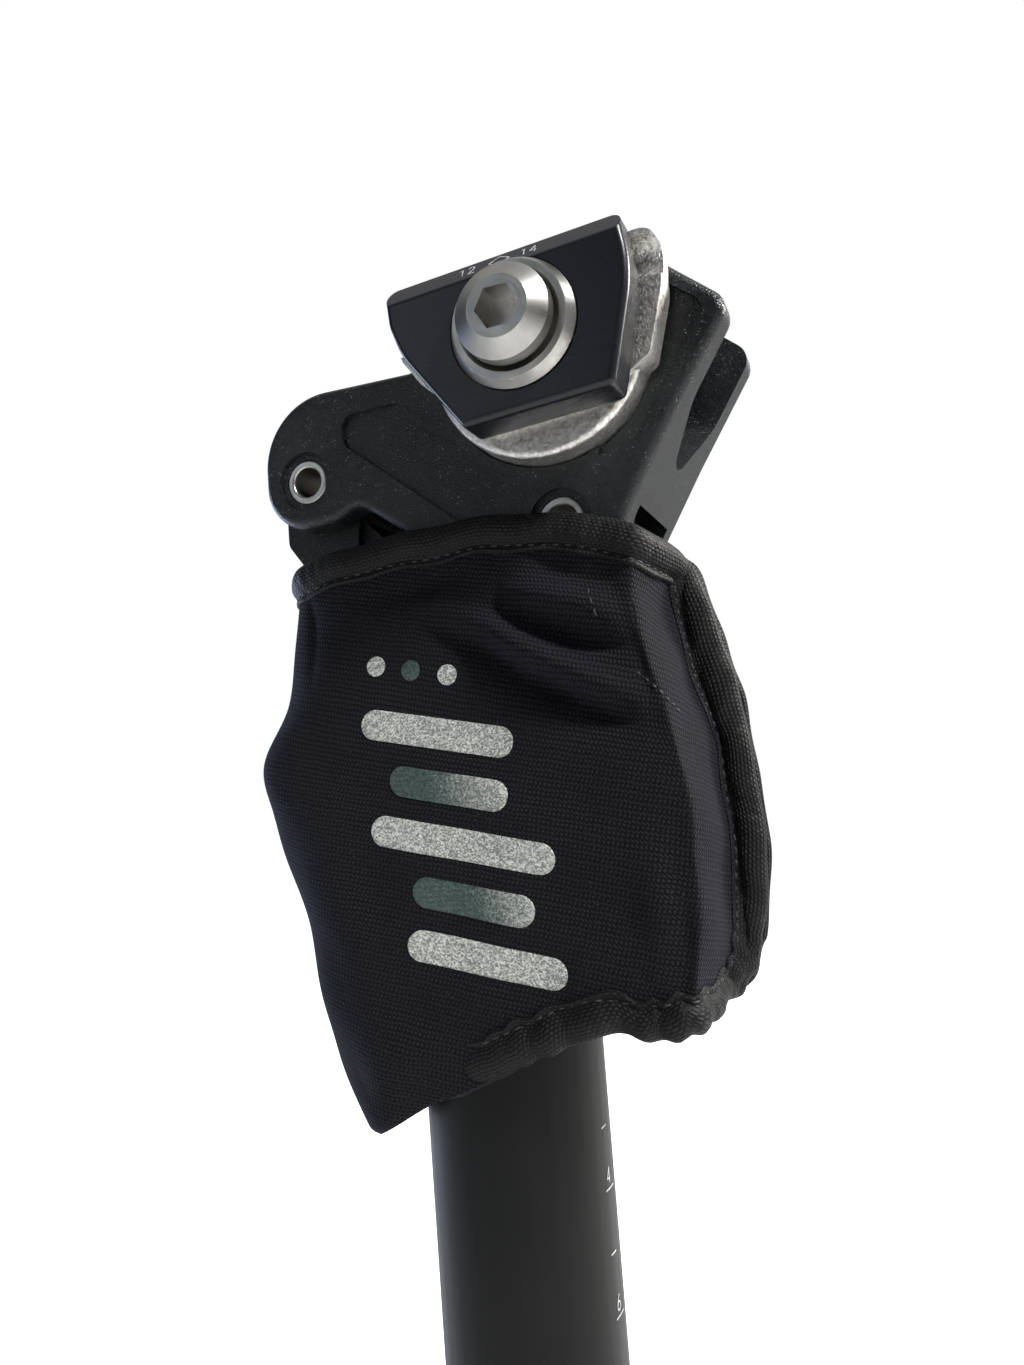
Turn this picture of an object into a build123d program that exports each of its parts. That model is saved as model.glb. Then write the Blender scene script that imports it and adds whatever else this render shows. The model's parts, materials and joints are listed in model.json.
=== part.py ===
from build123d import *
import os
from math import cos, pi, radians, sin, sqrt

# Parallelogram suspension seatpost. Millimetres.
# Origin: centre of the post's lower end face. +Z up the post, +X to the front of the bicycle,
# +Y to the rider's left. Side-view places are given as (x, height), where height is counted
# from the linkage datum, DATUM above the lower end.

# ---- Post tube
POST_DIAMETER = 30.9
POST_WALL = 2.5
POST_LENGTH = 238.0
POST_SOCKET_DROP = 8.0          # the tube stops this far below the datum
MARK_HEIGHT = 100.0             # minimum insertion line
MARK_WIDTH = 0.8
MARK_DEPTH = 0.2
DATUM = POST_LENGTH + POST_SOCKET_DROP

# ---- Linkage
FRONT_LOWER = (27.5, 30.3)
REAR_LOWER = (-19.0, 15.7)
LINK = (-1.8, 53.1)             # lower pivot to upper pivot, same for both links
FRONT_UPPER = (FRONT_LOWER[0] + LINK[0], FRONT_LOWER[1] + LINK[1])
REAR_UPPER = (REAR_LOWER[0] + LINK[0], REAR_LOWER[1] + LINK[1])
UPPER_GAP = 20.0                # between the upper body's side plates
UPPER_PLATE = 5.0
LOWER_GAP = 20.0                # between the lower body's side plates
LOWER_PLATE = 4.2
SIDE_PLAY = 0.15
HUB_RADIUS = 8.0
HUB_CLEARANCE = 1.2
BEAM_HALF_WIDTH = 7.2
# side views of the links, as steps from an axle: x, height, corner radius
FRONT_BEAM_LOWER = (4.5, -6.5)  # ahead of the lower axle and behind it
FRONT_BEAM_UPPER = (3.0, -6.5)
FRONT_BEAM_DROP = 6.0           # the beam's top below the upper axle
FRONT_SHOULDER = [(7.9, 0, 0), (7.9, -9.5, 2.5), (4.3, -14.5, 1.0), (-6.2, -14.5, 0), (-7.7, 0, 0)]
CARRIER_ARM_TOP = (-5.0, -4.5)
CARRIER_ARM_FOOT = (-1.0, -24.0)
CARRIER_ARM_FORE = 3.0          # the arm's front edge from the spring's axis
CARRIER_ARM_REACH = 1.5         # the arm's rear edge beyond the carrier's ring
REAR_BEAM_HALF = 5.0
REAR_ARM_ROOT = [(-4.0, -6.6), (6.5, -1.0)]
REAR_ARM_TIP = 3.0              # the arm stops this far inside the seat's rim

# ---- Axles and bushes
AXLE_DIAMETER = 8.0
AXLE_BORE = 5.2
AXLE_INSET = 0.25
PRESS_GAP = 0.01
RUNNING_GAP = 0.04
OPEN_PIVOT_GAP = 0.10           # rear upper bush, where the linkage loop closes
BUSH_WALL = 1.5
BUSH_FLANGE = 1.0
BUSH_FLANGE_STEP = 1.2
COUNTERBORE_STEP = 1.2
COUNTERBORE_DEPTH = 0.8

# ---- Spring unit
SPRING_BASE = (3.5, 4.5)
SPRING_AXIS = (0.097, 0.9953)
SPRING_LENGTH = 57.0
SPRING_DIAMETER = 18.4
SPRING_WIRE = 3.2
SPRING_TURNS = 5.25
SPRING_END_GAP = 0.15
SEAT_STEP = 0.3
SEAT_THICKNESS = 2.0
SEAT_SPIGOT = 4.0
SPIGOT_GAP = 0.6
SEAT_BORE = 5.0
ARM_THICKNESS = 4.5
CAP_THICKNESS = 2.5
CAP_GAP = 0.3
CARRIER_THICKNESS = 7.2
CARRIER_RADIUS = 9.2
PRELOAD_DIAMETER = 12.0
PRELOAD_STANDOUT = 2.5
PRELOAD_HEX = 6.0
PRELOAD_HEX_DEPTH = 6.0
KEY_ACCESS_DIAMETER = 9.0

# ---- Lower body
COLLAR_WALL = 1.75
COLLAR_LENGTH = 9.0
SEAT_GAP = 0.02
CROWN_THICKNESS = 3.0
FLARE_LENGTH = 30.0             # the side plates narrow into the collar over this
SPIGOT_LENGTH = 28.0
SPIGOT_WALL = 3.5
LOWER_BOSS = 7.6
BUMPER_RADIUS = 5.0
BUMPER_GAP = 0.3

# ---- Upper body
NOSE_RADIUS = 12.8
UPPER_BOSS = 8.4
PLATE_ROUNDING = 1.6
POCKET_DEPTH = 0.9
VALLEY_GAP = 18.0

# ---- Saddle clamp
CLAMP_CENTRE = (-20.4, 95.8)
CRADLE_TILT = 4.5               # rear end of the rails up
RAIL_DIAMETER = 7.0
RAIL_GAP = 0.05
RAIL_SPACING = 44.0
RAIL_RISE = 7.9
DISC_RADIUS = 17.8
DISC_TOP = 9.7                  # the disc's flat top, clear of its boss
DISC_RECESS_GAP = 0.3
DISC_RECESS_DEPTH = 2.0
DISC_FACE_GAP = 0.05
DISC_STANDOUT = 4.8
JAW_PARTING = 1.0
JAW_OUTER = 29.5
JAW_TOP = 12.6
BLOCK_TOP = 12.4
JAW_ROUNDING = 1.1
BEVEL_DEPTH = 2.6
BEVEL_DROP = 3.4
PLATE_TO_JAW = 0.4
JAW_BOSS_RADIUS = 9.0
JAW_BOSS_LENGTH = 6.0
JAW_BOSS_GAP = 0.1
SLEEVE_DIAMETER = 14.0
SLEEVE_END_GAP = 0.15
BOLT_DIAMETER = 8.0
BOLT_HOLE_GAP = 0.25
BOLT_HEAD_DIAMETER = 14.6
BOLT_TOP_DIAMETER = 9.4
BOLT_HEX = 6.0
BOLT_HEX_DEPTH = 4.5
BOLT_HEAD_BASE = 32.0
BOLT_CONE = 0.42                # rise of the cone under the head for each step outwards
BOLT_SHOULDER = 34.3
BOLT_TOP = 36.2
WASHER_DIAMETER = 20.0
WASHER_RIM = 18.0
WASHER_HEIGHT = 2.6
WASHER_SUNK = 0.6
NUT_THREAD_GAP = 0.05
NUT_TOP = 39.2
BOLT_END = 39.0

# ---- Cover
COVER_WALL = 1.3
COVER_FLAP_THICKNESS = 2.6
BINDING_WIDTH = 6.0
HEM_GAP = 0.3
STRIP_THICKNESS = 2.2
COVER_SECTION_POINTS = 26
COVER_PLATE_ROOM = 2.2          # from the side plates to the narrowest section's outside
# height, nose x, nose depth, nose squareness, pinch x, flap x, rear x, half width beyond the metal inside
COVER_SECTIONS = [
    (76.0, 33.0, 18.0, 2.6, -33.5, -38.0, -40.5, 0.0),
    (66.0, 33.3, 18.0, 2.6, -33.5, -38.5, -42.0, 0.1),
    (54.0, 34.0, 18.0, 2.6, -31.5, -37.0, -44.0, 0.6),
    (45.0, 36.2, 18.5, 2.7, -33.5, -38.0, -45.2, 1.1),
    (33.0, 40.8, 19.5, 3.2, -36.5, -40.5, -46.4, 1.6),
    (25.0, 39.8, 19.5, 3.0, -37.8, -41.5, -46.8, 1.7),
    (12.0, 36.2, 19.0, 2.7, -38.0, -42.0, -47.0, 1.7),
    (0.0, 33.4, 18.0, 2.6, -37.0, -41.5, -46.8, 1.7),
    (-14.0, 30.8, 17.5, 2.5, -33.5, -38.0, -44.0, 1.6),
    (-34.0, 23.0, 15.0, 2.4, -27.0, -32.0, -38.0, 0.4),
]
# side view of the cover's edge: x, height, corner radius
COVER_EDGE = [
    (46.0, 69.0, 0),
    (34.0, 67.4, 0),
    (9.0, 70.2, 40.0),
    (-10.0, 70.8, 40.0),
    (-26.0, 68.6, 30.0),
    (-39.5, 63.5, 3.0),
    (-44.6, 38.0, 60.0),
    (-46.8, 12.0, 60.0),
    (-42.0, -14.2, 12.0),
    (-22.0, -10.0, 12.0),
    (8.0, -22.6, 30.0),
    (24.0, -31.5, 2.5),
    (46.0, -10.0, 0),
]

SIDE = Plane(origin=(0, 0, DATUM), x_dir=(1, 0, 0), z_dir=(0, -1, 0))
UPPER_IN = UPPER_GAP / 2
UPPER_OUT = UPPER_IN + UPPER_PLATE
LOWER_IN = LOWER_GAP / 2
LOWER_OUT = LOWER_IN + LOWER_PLATE
COVER_INSIDE = max(POST_DIAMETER / 2 + COLLAR_WALL, UPPER_OUT + COVER_PLATE_ROOM)
FAR = 120.0                     # longer than anything it cuts


# ---- Helpers

def outline(corners):
    """Closed side-view face through (x, height, corner radius) points."""
    face = Polygon(*[(x, h) for x, h, _ in corners], align=None)
    for x, h, radius in corners:
        if radius:
            corner = face.vertices().sort_by_distance((x, h))[0]
            face = fillet(corner, radius)
    return face


def slab(face, low_y, high_y):
    """Side-view face given thickness across the post, from low_y to high_y."""
    return extrude(Pos(0, high_y, 0) * (SIDE * face), amount=high_y - low_y, dir=(0, -1, 0))


def rod(centre, radius, low_y, high_y):
    """Round bar across the post, about a side-view centre."""
    return slab(Pos(*centre) * Circle(radius), low_y, high_y)


def both_sides(solid):
    return solid + mirror(solid, about=Plane.XZ)


def turned(profile):
    """Profile of (radius, y) points turned about the clamp bolt's axis."""
    points = [(radius, y) for radius, y in profile]
    face = Plane.XY * Polygon(*points, align=None)
    body = revolve(face, axis=Axis.Y)
    return Pos(CLAMP_CENTRE[0], 0, DATUM + CLAMP_CENTRE[1]) * body


def on_spring(across, along):
    """Side-view point at a distance across (forward) and along the spring's axis."""
    ax, ah = SPRING_AXIS
    return (SPRING_BASE[0] + across * ah + along * ax, SPRING_BASE[1] - across * ax + along * ah)


def spring_plane(along):
    """Plane square to the spring's axis, a distance along it from the lower seat."""
    x, h = on_spring(0, along)
    return Plane(origin=(x, 0, DATUM + h), x_dir=(0, 1, 0), z_dir=(SPRING_AXIS[0], 0, SPRING_AXIS[1]))


def spring_disc(radius, low, high):
    """Disc about the spring's axis, between two distances along it."""
    return extrude(spring_plane(low) * Circle(radius), amount=high - low)


def hex_bar(across_flats, length):
    return extrude(RegularPolygon(across_flats / sqrt(3), 6), amount=length)


def on_cradle(along, up):
    """Side-view point from the clamp bolt: along the rails to the front, and square to them."""
    tilt = radians(CRADLE_TILT)
    x = CLAMP_CENTRE[0] + along * cos(tilt) + up * sin(tilt)
    return (x, CLAMP_CENTRE[1] - along * sin(tilt) + up * cos(tilt))


def cradle_outline(corners):
    return outline([(*on_cradle(along, up), radius) for along, up, radius in corners])


# ---- Post and lower body

def make_seat_tube():
    radius = POST_DIAMETER / 2
    tube = Cylinder(radius, POST_LENGTH, align=(Align.CENTER, Align.CENTER, Align.MIN))
    tube -= Cylinder(radius - POST_WALL, POST_LENGTH, align=(Align.CENTER, Align.CENTER, Align.MIN))
    groove = Cylinder(radius + MARK_DEPTH, MARK_WIDTH) - Cylinder(radius - MARK_DEPTH, MARK_WIDTH)
    return tube - Pos(0, 0, MARK_HEIGHT + MARK_WIDTH / 2) * groove


def make_lower_body():
    tube_radius = POST_DIAMETER / 2
    collar_radius = tube_radius + COLLAR_WALL
    crown = -POST_SOCKET_DROP + CROWN_THICKNESS
    collar_end = crown - COLLAR_LENGTH
    base = (Align.CENTER, Align.CENTER, Align.MIN)

    foot = make_face(Polyline(
        (-collar_radius, collar_end), (collar_radius, collar_end),
        (collar_radius + 2, crown), (-collar_radius, crown), close=True,
    ))
    bosses = [Pos(*centre) * Circle(LOWER_BOSS) for centre in (FRONT_LOWER, REAR_LOWER)]
    edges = [edge for face in (foot, *bosses) for edge in face.edges()]
    plate = slab(make_hull(edges), LOWER_IN, LOWER_OUT)
    body = both_sides(plate)

    front_web = outline([
        (tube_radius, collar_end, 0),
        (collar_radius + 2, collar_end + 3, 4.0),
        (FRONT_LOWER[0] + 5.5, 12.5, 1.5),
        (FRONT_LOWER[0] + 1.0, 15.0, 1.5),
        (collar_radius + 1.5, crown + 5, 4.0),
        (tube_radius, crown, 0),
    ])
    body += slab(front_web, -LOWER_IN, LOWER_IN)
    collar = Cylinder(collar_radius, COLLAR_LENGTH, align=base)
    body += Pos(0, 0, DATUM + collar_end) * collar

    flare_radius = collar_radius + FLARE_LENGTH
    flare = Cone(collar_radius, flare_radius, FLARE_LENGTH, align=base)
    envelope = Pos(0, 0, DATUM + collar_end) * flare
    above = Pos(0, 0, DATUM + collar_end + FLARE_LENGTH)
    envelope += above * Cylinder(flare_radius, FAR, align=base)
    body = body & envelope

    socket = Cylinder(tube_radius + SEAT_GAP, POST_SOCKET_DROP + FAR / 2)
    body -= Pos(0, 0, DATUM - POST_SOCKET_DROP - (POST_SOCKET_DROP + FAR / 2) / 2) * socket
    plug_radius = tube_radius - POST_WALL - SEAT_GAP
    plug = Cylinder(plug_radius, SPIGOT_LENGTH, align=base)
    plug -= Cylinder(plug_radius - SPIGOT_WALL, SPIGOT_LENGTH, align=base)
    body += Pos(0, 0, DATUM - POST_SOCKET_DROP - SPIGOT_LENGTH) * plug

    for centre in (FRONT_LOWER, REAR_LOWER):
        body -= rod(centre, AXLE_DIAMETER / 2 + PRESS_GAP, -LOWER_OUT, LOWER_OUT)
    return body


def make_top_out_bumper():
    crown = -POST_SOCKET_DROP + CROWN_THICKNESS
    x, arm_face = on_spring(0, -SEAT_THICKNESS - ARM_THICKNESS)
    drop = BUMPER_RADIUS * SPRING_AXIS[0]
    height = arm_face - drop - BUMPER_GAP - crown
    pad = Cylinder(BUMPER_RADIUS, height, align=(Align.CENTER, Align.CENTER, Align.MIN))
    pad = chamfer(pad.edges().group_by(Axis.Z)[-1], height / 4)
    return Pos(x, 0, DATUM + crown) * pad


# ---- Links

def hub_half(gap):
    return gap / 2 - SIDE_PLAY - BUSH_FLANGE


def bush_bore(gap):
    return AXLE_DIAMETER / 2 + gap + BUSH_WALL


def make_front_link():
    lower = hub_half(LOWER_GAP)
    upper = hub_half(UPPER_GAP)
    (ax, ah), (dx, dh) = FRONT_LOWER, FRONT_UPPER
    body = rod(FRONT_LOWER, HUB_RADIUS, -lower, lower)
    body += rod(FRONT_UPPER, HUB_RADIUS, -upper, upper)
    (low_fore, low_aft), (high_fore, high_aft) = FRONT_BEAM_LOWER, FRONT_BEAM_UPPER
    top = dh - FRONT_BEAM_DROP
    beam = outline([
        (ax + low_fore, ah, 0), (dx + high_fore, top, 0), (dx + high_aft, top, 0), (ax + low_aft, ah, 0),
    ])
    body += slab(beam, -BEAM_HALF_WIDTH, BEAM_HALF_WIDTH)
    shoulder = outline([(dx + x, dh + h, corner) for x, h, corner in FRONT_SHOULDER])
    body += slab(shoulder, -upper, upper)

    # Carrier arm for the preload screw, behind the upper hub
    low = SPRING_LENGTH + CAP_THICKNESS + CAP_GAP
    high = low + CARRIER_THICKNESS
    body += spring_disc(CARRIER_RADIUS, low, high)
    arm = outline([
        (dx + CARRIER_ARM_TOP[0], dh + CARRIER_ARM_TOP[1], 0),
        (*on_spring(CARRIER_ARM_FORE, high), 0),
        (*on_spring(CARRIER_ARM_FORE, low), 0),
        (*on_spring(CARRIER_RADIUS + CARRIER_ARM_REACH, low), 0),
        (dx + CARRIER_ARM_FOOT[0], dh + CARRIER_ARM_FOOT[1], 0),
    ])
    body += slab(arm, -BEAM_HALF_WIDTH, BEAM_HALF_WIDTH)
    body -= spring_disc(PRELOAD_DIAMETER / 2 + RUNNING_GAP, low - 1, high + 4 * PRELOAD_STANDOUT)
    bore = bush_bore(RUNNING_GAP) + PRESS_GAP
    body -= rod(FRONT_LOWER, bore, -lower, lower)
    body -= rod(FRONT_UPPER, bore, -upper, upper)
    return body


def make_rear_link():
    lower = hub_half(LOWER_GAP)
    upper = hub_half(UPPER_GAP)
    (bx, bh), (cx, ch) = REAR_LOWER, REAR_UPPER
    body = rod(REAR_LOWER, HUB_RADIUS, -lower, lower)
    body += rod(REAR_UPPER, HUB_RADIUS, -upper, upper)
    half = REAR_BEAM_HALF
    beam = outline([(bx + half, bh, 0), (cx + half, ch, 0), (cx - half, ch, 0), (bx - half, bh, 0)])
    body += slab(beam, -BEAM_HALF_WIDTH, BEAM_HALF_WIDTH)

    # Forward arm under the spring
    seat = SPRING_DIAMETER / 2 + SEAT_STEP
    top = -SEAT_THICKNESS
    bottom = top - ARM_THICKNESS
    body += spring_disc(seat, bottom, top)
    (under_x, under_h), (over_x, over_h) = REAR_ARM_ROOT
    arm = outline([
        (bx + under_x, bh + under_h, 0),
        (*on_spring(-seat, bottom), 0),
        (*on_spring(seat - REAR_ARM_TIP, bottom), 0),
        (*on_spring(seat - REAR_ARM_TIP, top), 0),
        (*on_spring(-seat, top), 0),
        (bx + over_x, bh + over_h, 0),
    ])
    body += slab(arm, -BEAM_HALF_WIDTH, BEAM_HALF_WIDTH)
    body -= rod(REAR_LOWER, bush_bore(RUNNING_GAP) + PRESS_GAP, -lower, lower)
    body -= rod(REAR_UPPER, bush_bore(OPEN_PIVOT_GAP) + PRESS_GAP, -upper, upper)
    return body


def make_bushes(centre, gap, axle_gap):
    """Pair of flanged bushes, one pressed into each end of a link's hub."""
    inner = hub_half(gap)
    radius = bush_bore(axle_gap)
    sleeve = rod(centre, radius, inner / 4, inner)
    flange = rod(centre, radius + BUSH_FLANGE_STEP, inner, inner + BUSH_FLANGE)
    bush = sleeve + flange
    bush -= rod(centre, AXLE_DIAMETER / 2 + axle_gap, 0, inner + BUSH_FLANGE)
    return Compound(children=[bush, mirror(bush, about=Plane.XZ)])


def make_axle(centre, half_length):
    """Hollow axle with turned ends, pressed into the side plates."""
    reach = half_length - AXLE_INSET
    axle = rod(centre, AXLE_DIAMETER / 2, -reach, reach)
    axle -= rod(centre, AXLE_BORE / 2, -reach, reach)
    ends = axle.faces().sort_by(Axis.Y)
    rims = ends[0].edges() + ends[-1].edges()
    return fillet(rims, (AXLE_DIAMETER - AXLE_BORE) / 6)


# ---- Spring unit

def make_coil_spring():
    height = SPRING_LENGTH - SPRING_WIRE - 2 * SPRING_END_GAP
    radius = (SPRING_DIAMETER - SPRING_WIRE) / 2
    path = Helix(height / SPRING_TURNS, height, radius)
    section = Plane(origin=path @ 0, z_dir=path % 0) * Circle(SPRING_WIRE / 2)
    coil = sweep(section, path=path, is_frenet=True)
    return spring_plane(SPRING_WIRE / 2 + SPRING_END_GAP).location * coil


def make_lower_spring_seat():
    seat = spring_disc(SPRING_DIAMETER / 2 + SEAT_STEP, -SEAT_THICKNESS, 0)
    inside = SPRING_DIAMETER / 2 - SPRING_WIRE - SPIGOT_GAP
    seat += spring_disc(inside, -SEAT_THICKNESS / 2, SEAT_SPIGOT)
    return seat - spring_disc(SEAT_BORE / 2, -SEAT_THICKNESS, SEAT_SPIGOT)


def make_upper_spring_cap():
    top = SPRING_LENGTH + CAP_THICKNESS
    cap = spring_disc(SPRING_DIAMETER / 2, SPRING_LENGTH, top)
    inside = SPRING_DIAMETER / 2 - SPRING_WIRE - SPIGOT_GAP
    return cap + spring_disc(inside, SPRING_LENGTH - SEAT_SPIGOT, SPRING_LENGTH + CAP_THICKNESS / 2)


def make_preload_screw():
    low = SPRING_LENGTH + CAP_THICKNESS
    high = low + CAP_GAP + CARRIER_THICKNESS + PRELOAD_STANDOUT
    screw = spring_disc(PRELOAD_DIAMETER / 2, low, high)
    screw = chamfer(screw.edges().sort_by(Axis.Z)[-1], 0.8)
    socket = spring_plane(high - PRELOAD_HEX_DEPTH).location * hex_bar(PRELOAD_HEX, PRELOAD_HEX_DEPTH)
    return screw - socket


# ---- Upper body

def upper_profile():
    """Side view of the forged upper body: front boss, saddle seat and rear ears."""
    (dx, dh), (cx, ch) = FRONT_UPPER, REAR_UPPER
    nose = dx + UPPER_BOSS
    return outline([
        (nose, dh + 15.9, NOSE_RADIUS),
        (dx - 22.2, dh + 15.5, 12.0),
        (-37.5, 110.0, 3.0),
        (-50.8, 98.6, 3.5),
        (-39.2, 80.8, 10.0),
        (cx - 11.0, ch - 0.2, 8.0),
        (cx - UPPER_BOSS - 0.1, ch - UPPER_BOSS, UPPER_BOSS - 0.5),
        (cx + 5.5, ch - UPPER_BOSS, 5.0),
        (cx + 21.3, ch - 1.2, 6.0),
        (cx + 24.8, ch + 0.2, 6.0),
        (dx - 10.2, dh - 5.8, 3.5),
        (dx - 5.6, dh - UPPER_BOSS + 0.2, 3.0),
        (nose, dh - UPPER_BOSS, UPPER_BOSS - 0.2),
    ])


def make_upper_body():
    profile = upper_profile()
    plate = slab(profile, UPPER_IN, UPPER_OUT)
    plate = fillet(plate.faces().sort_by(Axis.Y)[-1].edges(), PLATE_ROUNDING)
    body = both_sides(plate)

    web = outline([
        (40.0, 92.2, 0), (40.0, 112.0, 0), (-60.0, 112.0, 0), (-60.0, 82.0, 0),
        (-34.5, 66.5, 0), (-31.0, 74.6, 2.0), (-24.0, 78.0, 0), (16.5, 78.0, 3.0), (16.5, 92.2, 3.0),
    ])
    body += slab(web & profile, -UPPER_IN, UPPER_IN)
    clear = HUB_RADIUS + HUB_CLEARANCE
    for centre in (FRONT_UPPER, REAR_UPPER):
        body -= rod(centre, clear, -UPPER_IN, UPPER_IN)

    # Valley between the ears: a round-bottomed channel that narrows downwards
    floor_plane = Plane(origin=(-36.4, 0, DATUM + 77.5), x_dir=(0, -1, 0), z_dir=(-0.97, 0, -0.24))
    half = VALLEY_GAP / 2
    mouth = Polygon((-half, 60.0), (-half, 10.0), (0, -2.0), (half, 10.0), (half, 60.0), align=None)
    mouth = fillet(mouth.vertices().group_by(Axis.Y)[0], 4.0)
    mouth = fillet(mouth.vertices().group_by(Axis.Y)[1], 6.0)
    channel = extrude(floor_plane.offset(-6.0) * mouth, amount=FAR, both=False)
    body -= channel & slab(outline([
        (-36.5, 60.0, 0), (-29.5, 90.0, 0), (-29.5, 130.0, 0), (-70.0, 130.0, 0), (-70.0, 60.0, 0),
    ]), -UPPER_IN, UPPER_IN)

    # Recess for the cradle disc, bore for its boss, and the two forged pockets
    recess_floor = UPPER_OUT - DISC_RECESS_DEPTH
    recess = rod(CLAMP_CENTRE, DISC_RADIUS + DISC_RECESS_GAP, recess_floor, FAR)
    front_pocket = outline([
        (17.8, 93.6, 2.5), (7.0, 94.0, 2.0), (2.2, 88.6, 4.0), (-5.2, 83.6, 2.5),
        (-11.0, 75.6, 3.5), (-3.6, 71.0, 3.0), (17.6, 88.4, 2.5),
    ])
    ear_pocket = outline([
        (-33.0, 108.0, 0), (-39.0, 105.2, 0), (-46.9, 98.8, 2.0), (-34.0, 78.6, 3.0), (-28.0, 78.0, 0),
    ])
    pocket_floor = UPPER_OUT - POCKET_DEPTH
    land = rod(CLAMP_CENTRE, DISC_RADIUS + 2.2, 0, FAR)
    cuts = slab(front_pocket, pocket_floor, FAR) - land
    cuts += slab(ear_pocket, pocket_floor, FAR) + recess
    for centre in (FRONT_UPPER, REAR_UPPER):
        cuts += rod(centre, AXLE_DIAMETER / 2 + COUNTERBORE_STEP, UPPER_OUT - COUNTERBORE_DEPTH, FAR)
    body -= both_sides(cuts)
    for centre in (FRONT_UPPER, REAR_UPPER):
        body -= rod(centre, AXLE_DIAMETER / 2 + PRESS_GAP, -UPPER_OUT, UPPER_OUT)
    body -= rod(CLAMP_CENTRE, JAW_BOSS_RADIUS + JAW_BOSS_GAP, -UPPER_OUT, UPPER_OUT)
    return body - spring_disc(KEY_ACCESS_DIAMETER / 2, SPRING_LENGTH, FAR)


# ---- Saddle clamp

def rail_bore(low_y, high_y):
    """Cut for both halves of a rail groove, along the tilted cradle."""
    tilt = radians(CRADLE_TILT)
    x, h = on_cradle(0, RAIL_RISE)
    centre = (x, RAIL_SPACING / 2, DATUM + h)
    plane = Plane(origin=centre, x_dir=(0, 1, 0), z_dir=(cos(tilt), 0, -sin(tilt)))
    return extrude(plane * Circle(RAIL_DIAMETER / 2 + RAIL_GAP), amount=FAR, both=True)


def make_inner_jaw():
    """Left inner jaw: a disc that seats in the upper body, with the inner half of a rail groove."""
    root = UPPER_OUT - DISC_RECESS_DEPTH + DISC_FACE_GAP
    face = UPPER_OUT + DISC_STANDOUT
    split = RAIL_SPACING / 2 - JAW_PARTING / 2
    disc = rod(CLAMP_CENTRE, DISC_RADIUS, root, face)
    disc = fillet(disc.faces().sort_by(Axis.Y)[-1].edges(), 1.0)
    lower_part = cradle_outline([(-40, DISC_TOP, 0), (40, DISC_TOP, 0), (40, -40, 0), (-40, -40, 0)])
    disc = disc & slab(lower_part, 0, FAR)
    block = cradle_outline([
        (22.4, BLOCK_TOP, 1.0), (-22.4, BLOCK_TOP, 3.0), (-21.6, 3.0, 10.0), (-18.0, -7.2, 2.0),
        (-8.0, -12.0, 4.0), (9.5, -12.4, 2.0), (19.5, -1.0, 6.0), (22.4, 4.0, 4.0),
    ])
    block = slab(block, UPPER_OUT + PLATE_TO_JAW, split)
    jaw = disc + block + rod(CLAMP_CENTRE, JAW_BOSS_RADIUS, root - JAW_BOSS_LENGTH, root)
    jaw -= rod(CLAMP_CENTRE, BOLT_DIAMETER / 2 + BOLT_HOLE_GAP, 0, FAR)
    return jaw - rail_bore(0, FAR)


def make_outer_jaw():
    """Left outer jaw: a shield-shaped plate with the outer half of a rail groove."""
    split = RAIL_SPACING / 2 + JAW_PARTING / 2
    shield = cradle_outline([
        (20.3, JAW_TOP, 1.8), (-18.2, JAW_TOP, 1.8), (-18.9, 3.0, 22.0), (-13.6, -13.4, 1.2),
        (10.4, -13.4, 1.2), (18.9, 0.6, 14.0), (20.3, 6.0, 6.0),
    ])
    jaw = slab(shield, split, JAW_OUTER)
    tilt = radians(CRADLE_TILT)
    x, h = on_cradle(0, JAW_TOP)
    plane = Plane(origin=(x, JAW_OUTER, DATUM + h), x_dir=(0, 1, 0), z_dir=(cos(tilt), 0, -sin(tilt)))
    wedge = Polygon((-BEVEL_DEPTH, 0), (0, -BEVEL_DROP), (5, -BEVEL_DROP), (5, 5), (-BEVEL_DEPTH, 5), align=None)
    jaw -= extrude(plane * wedge, amount=FAR, both=True)
    face = jaw.faces().sort_by(Axis.Y)[-1]
    jaw = fillet(face.edges(), JAW_ROUNDING)
    jaw -= rod(CLAMP_CENTRE, BOLT_DIAMETER / 2 + BOLT_HOLE_GAP, 0, FAR)
    seat = WASHER_DIAMETER / 2 + BOLT_HOLE_GAP
    jaw -= rod(CLAMP_CENTRE, seat, JAW_OUTER - WASHER_SUNK, FAR)
    return jaw - rail_bore(0, FAR)


def make_cradle_sleeve():
    reach = UPPER_OUT - DISC_RECESS_DEPTH + DISC_FACE_GAP - JAW_BOSS_LENGTH - SLEEVE_END_GAP
    sleeve = rod(CLAMP_CENTRE, SLEEVE_DIAMETER / 2, -reach, reach)
    return sleeve - rod(CLAMP_CENTRE, BOLT_DIAMETER / 2 + BOLT_HOLE_GAP, -reach, reach)


def make_washer():
    """Left washer with a conical seat for the bolt's head."""
    low = JAW_OUTER - WASHER_SUNK
    high = low + WASHER_HEIGHT
    hole = BOLT_DIAMETER / 2 + BOLT_HOLE_GAP
    mouth = BOLT_HEAD_DIAMETER / 2 + 0.7
    return turned([
        (hole, low), (WASHER_DIAMETER / 2, low), (WASHER_DIAMETER / 2, low + 0.8),
        (WASHER_RIM / 2, high), (mouth, high), (hole, low + 0.8),
    ])


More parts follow.
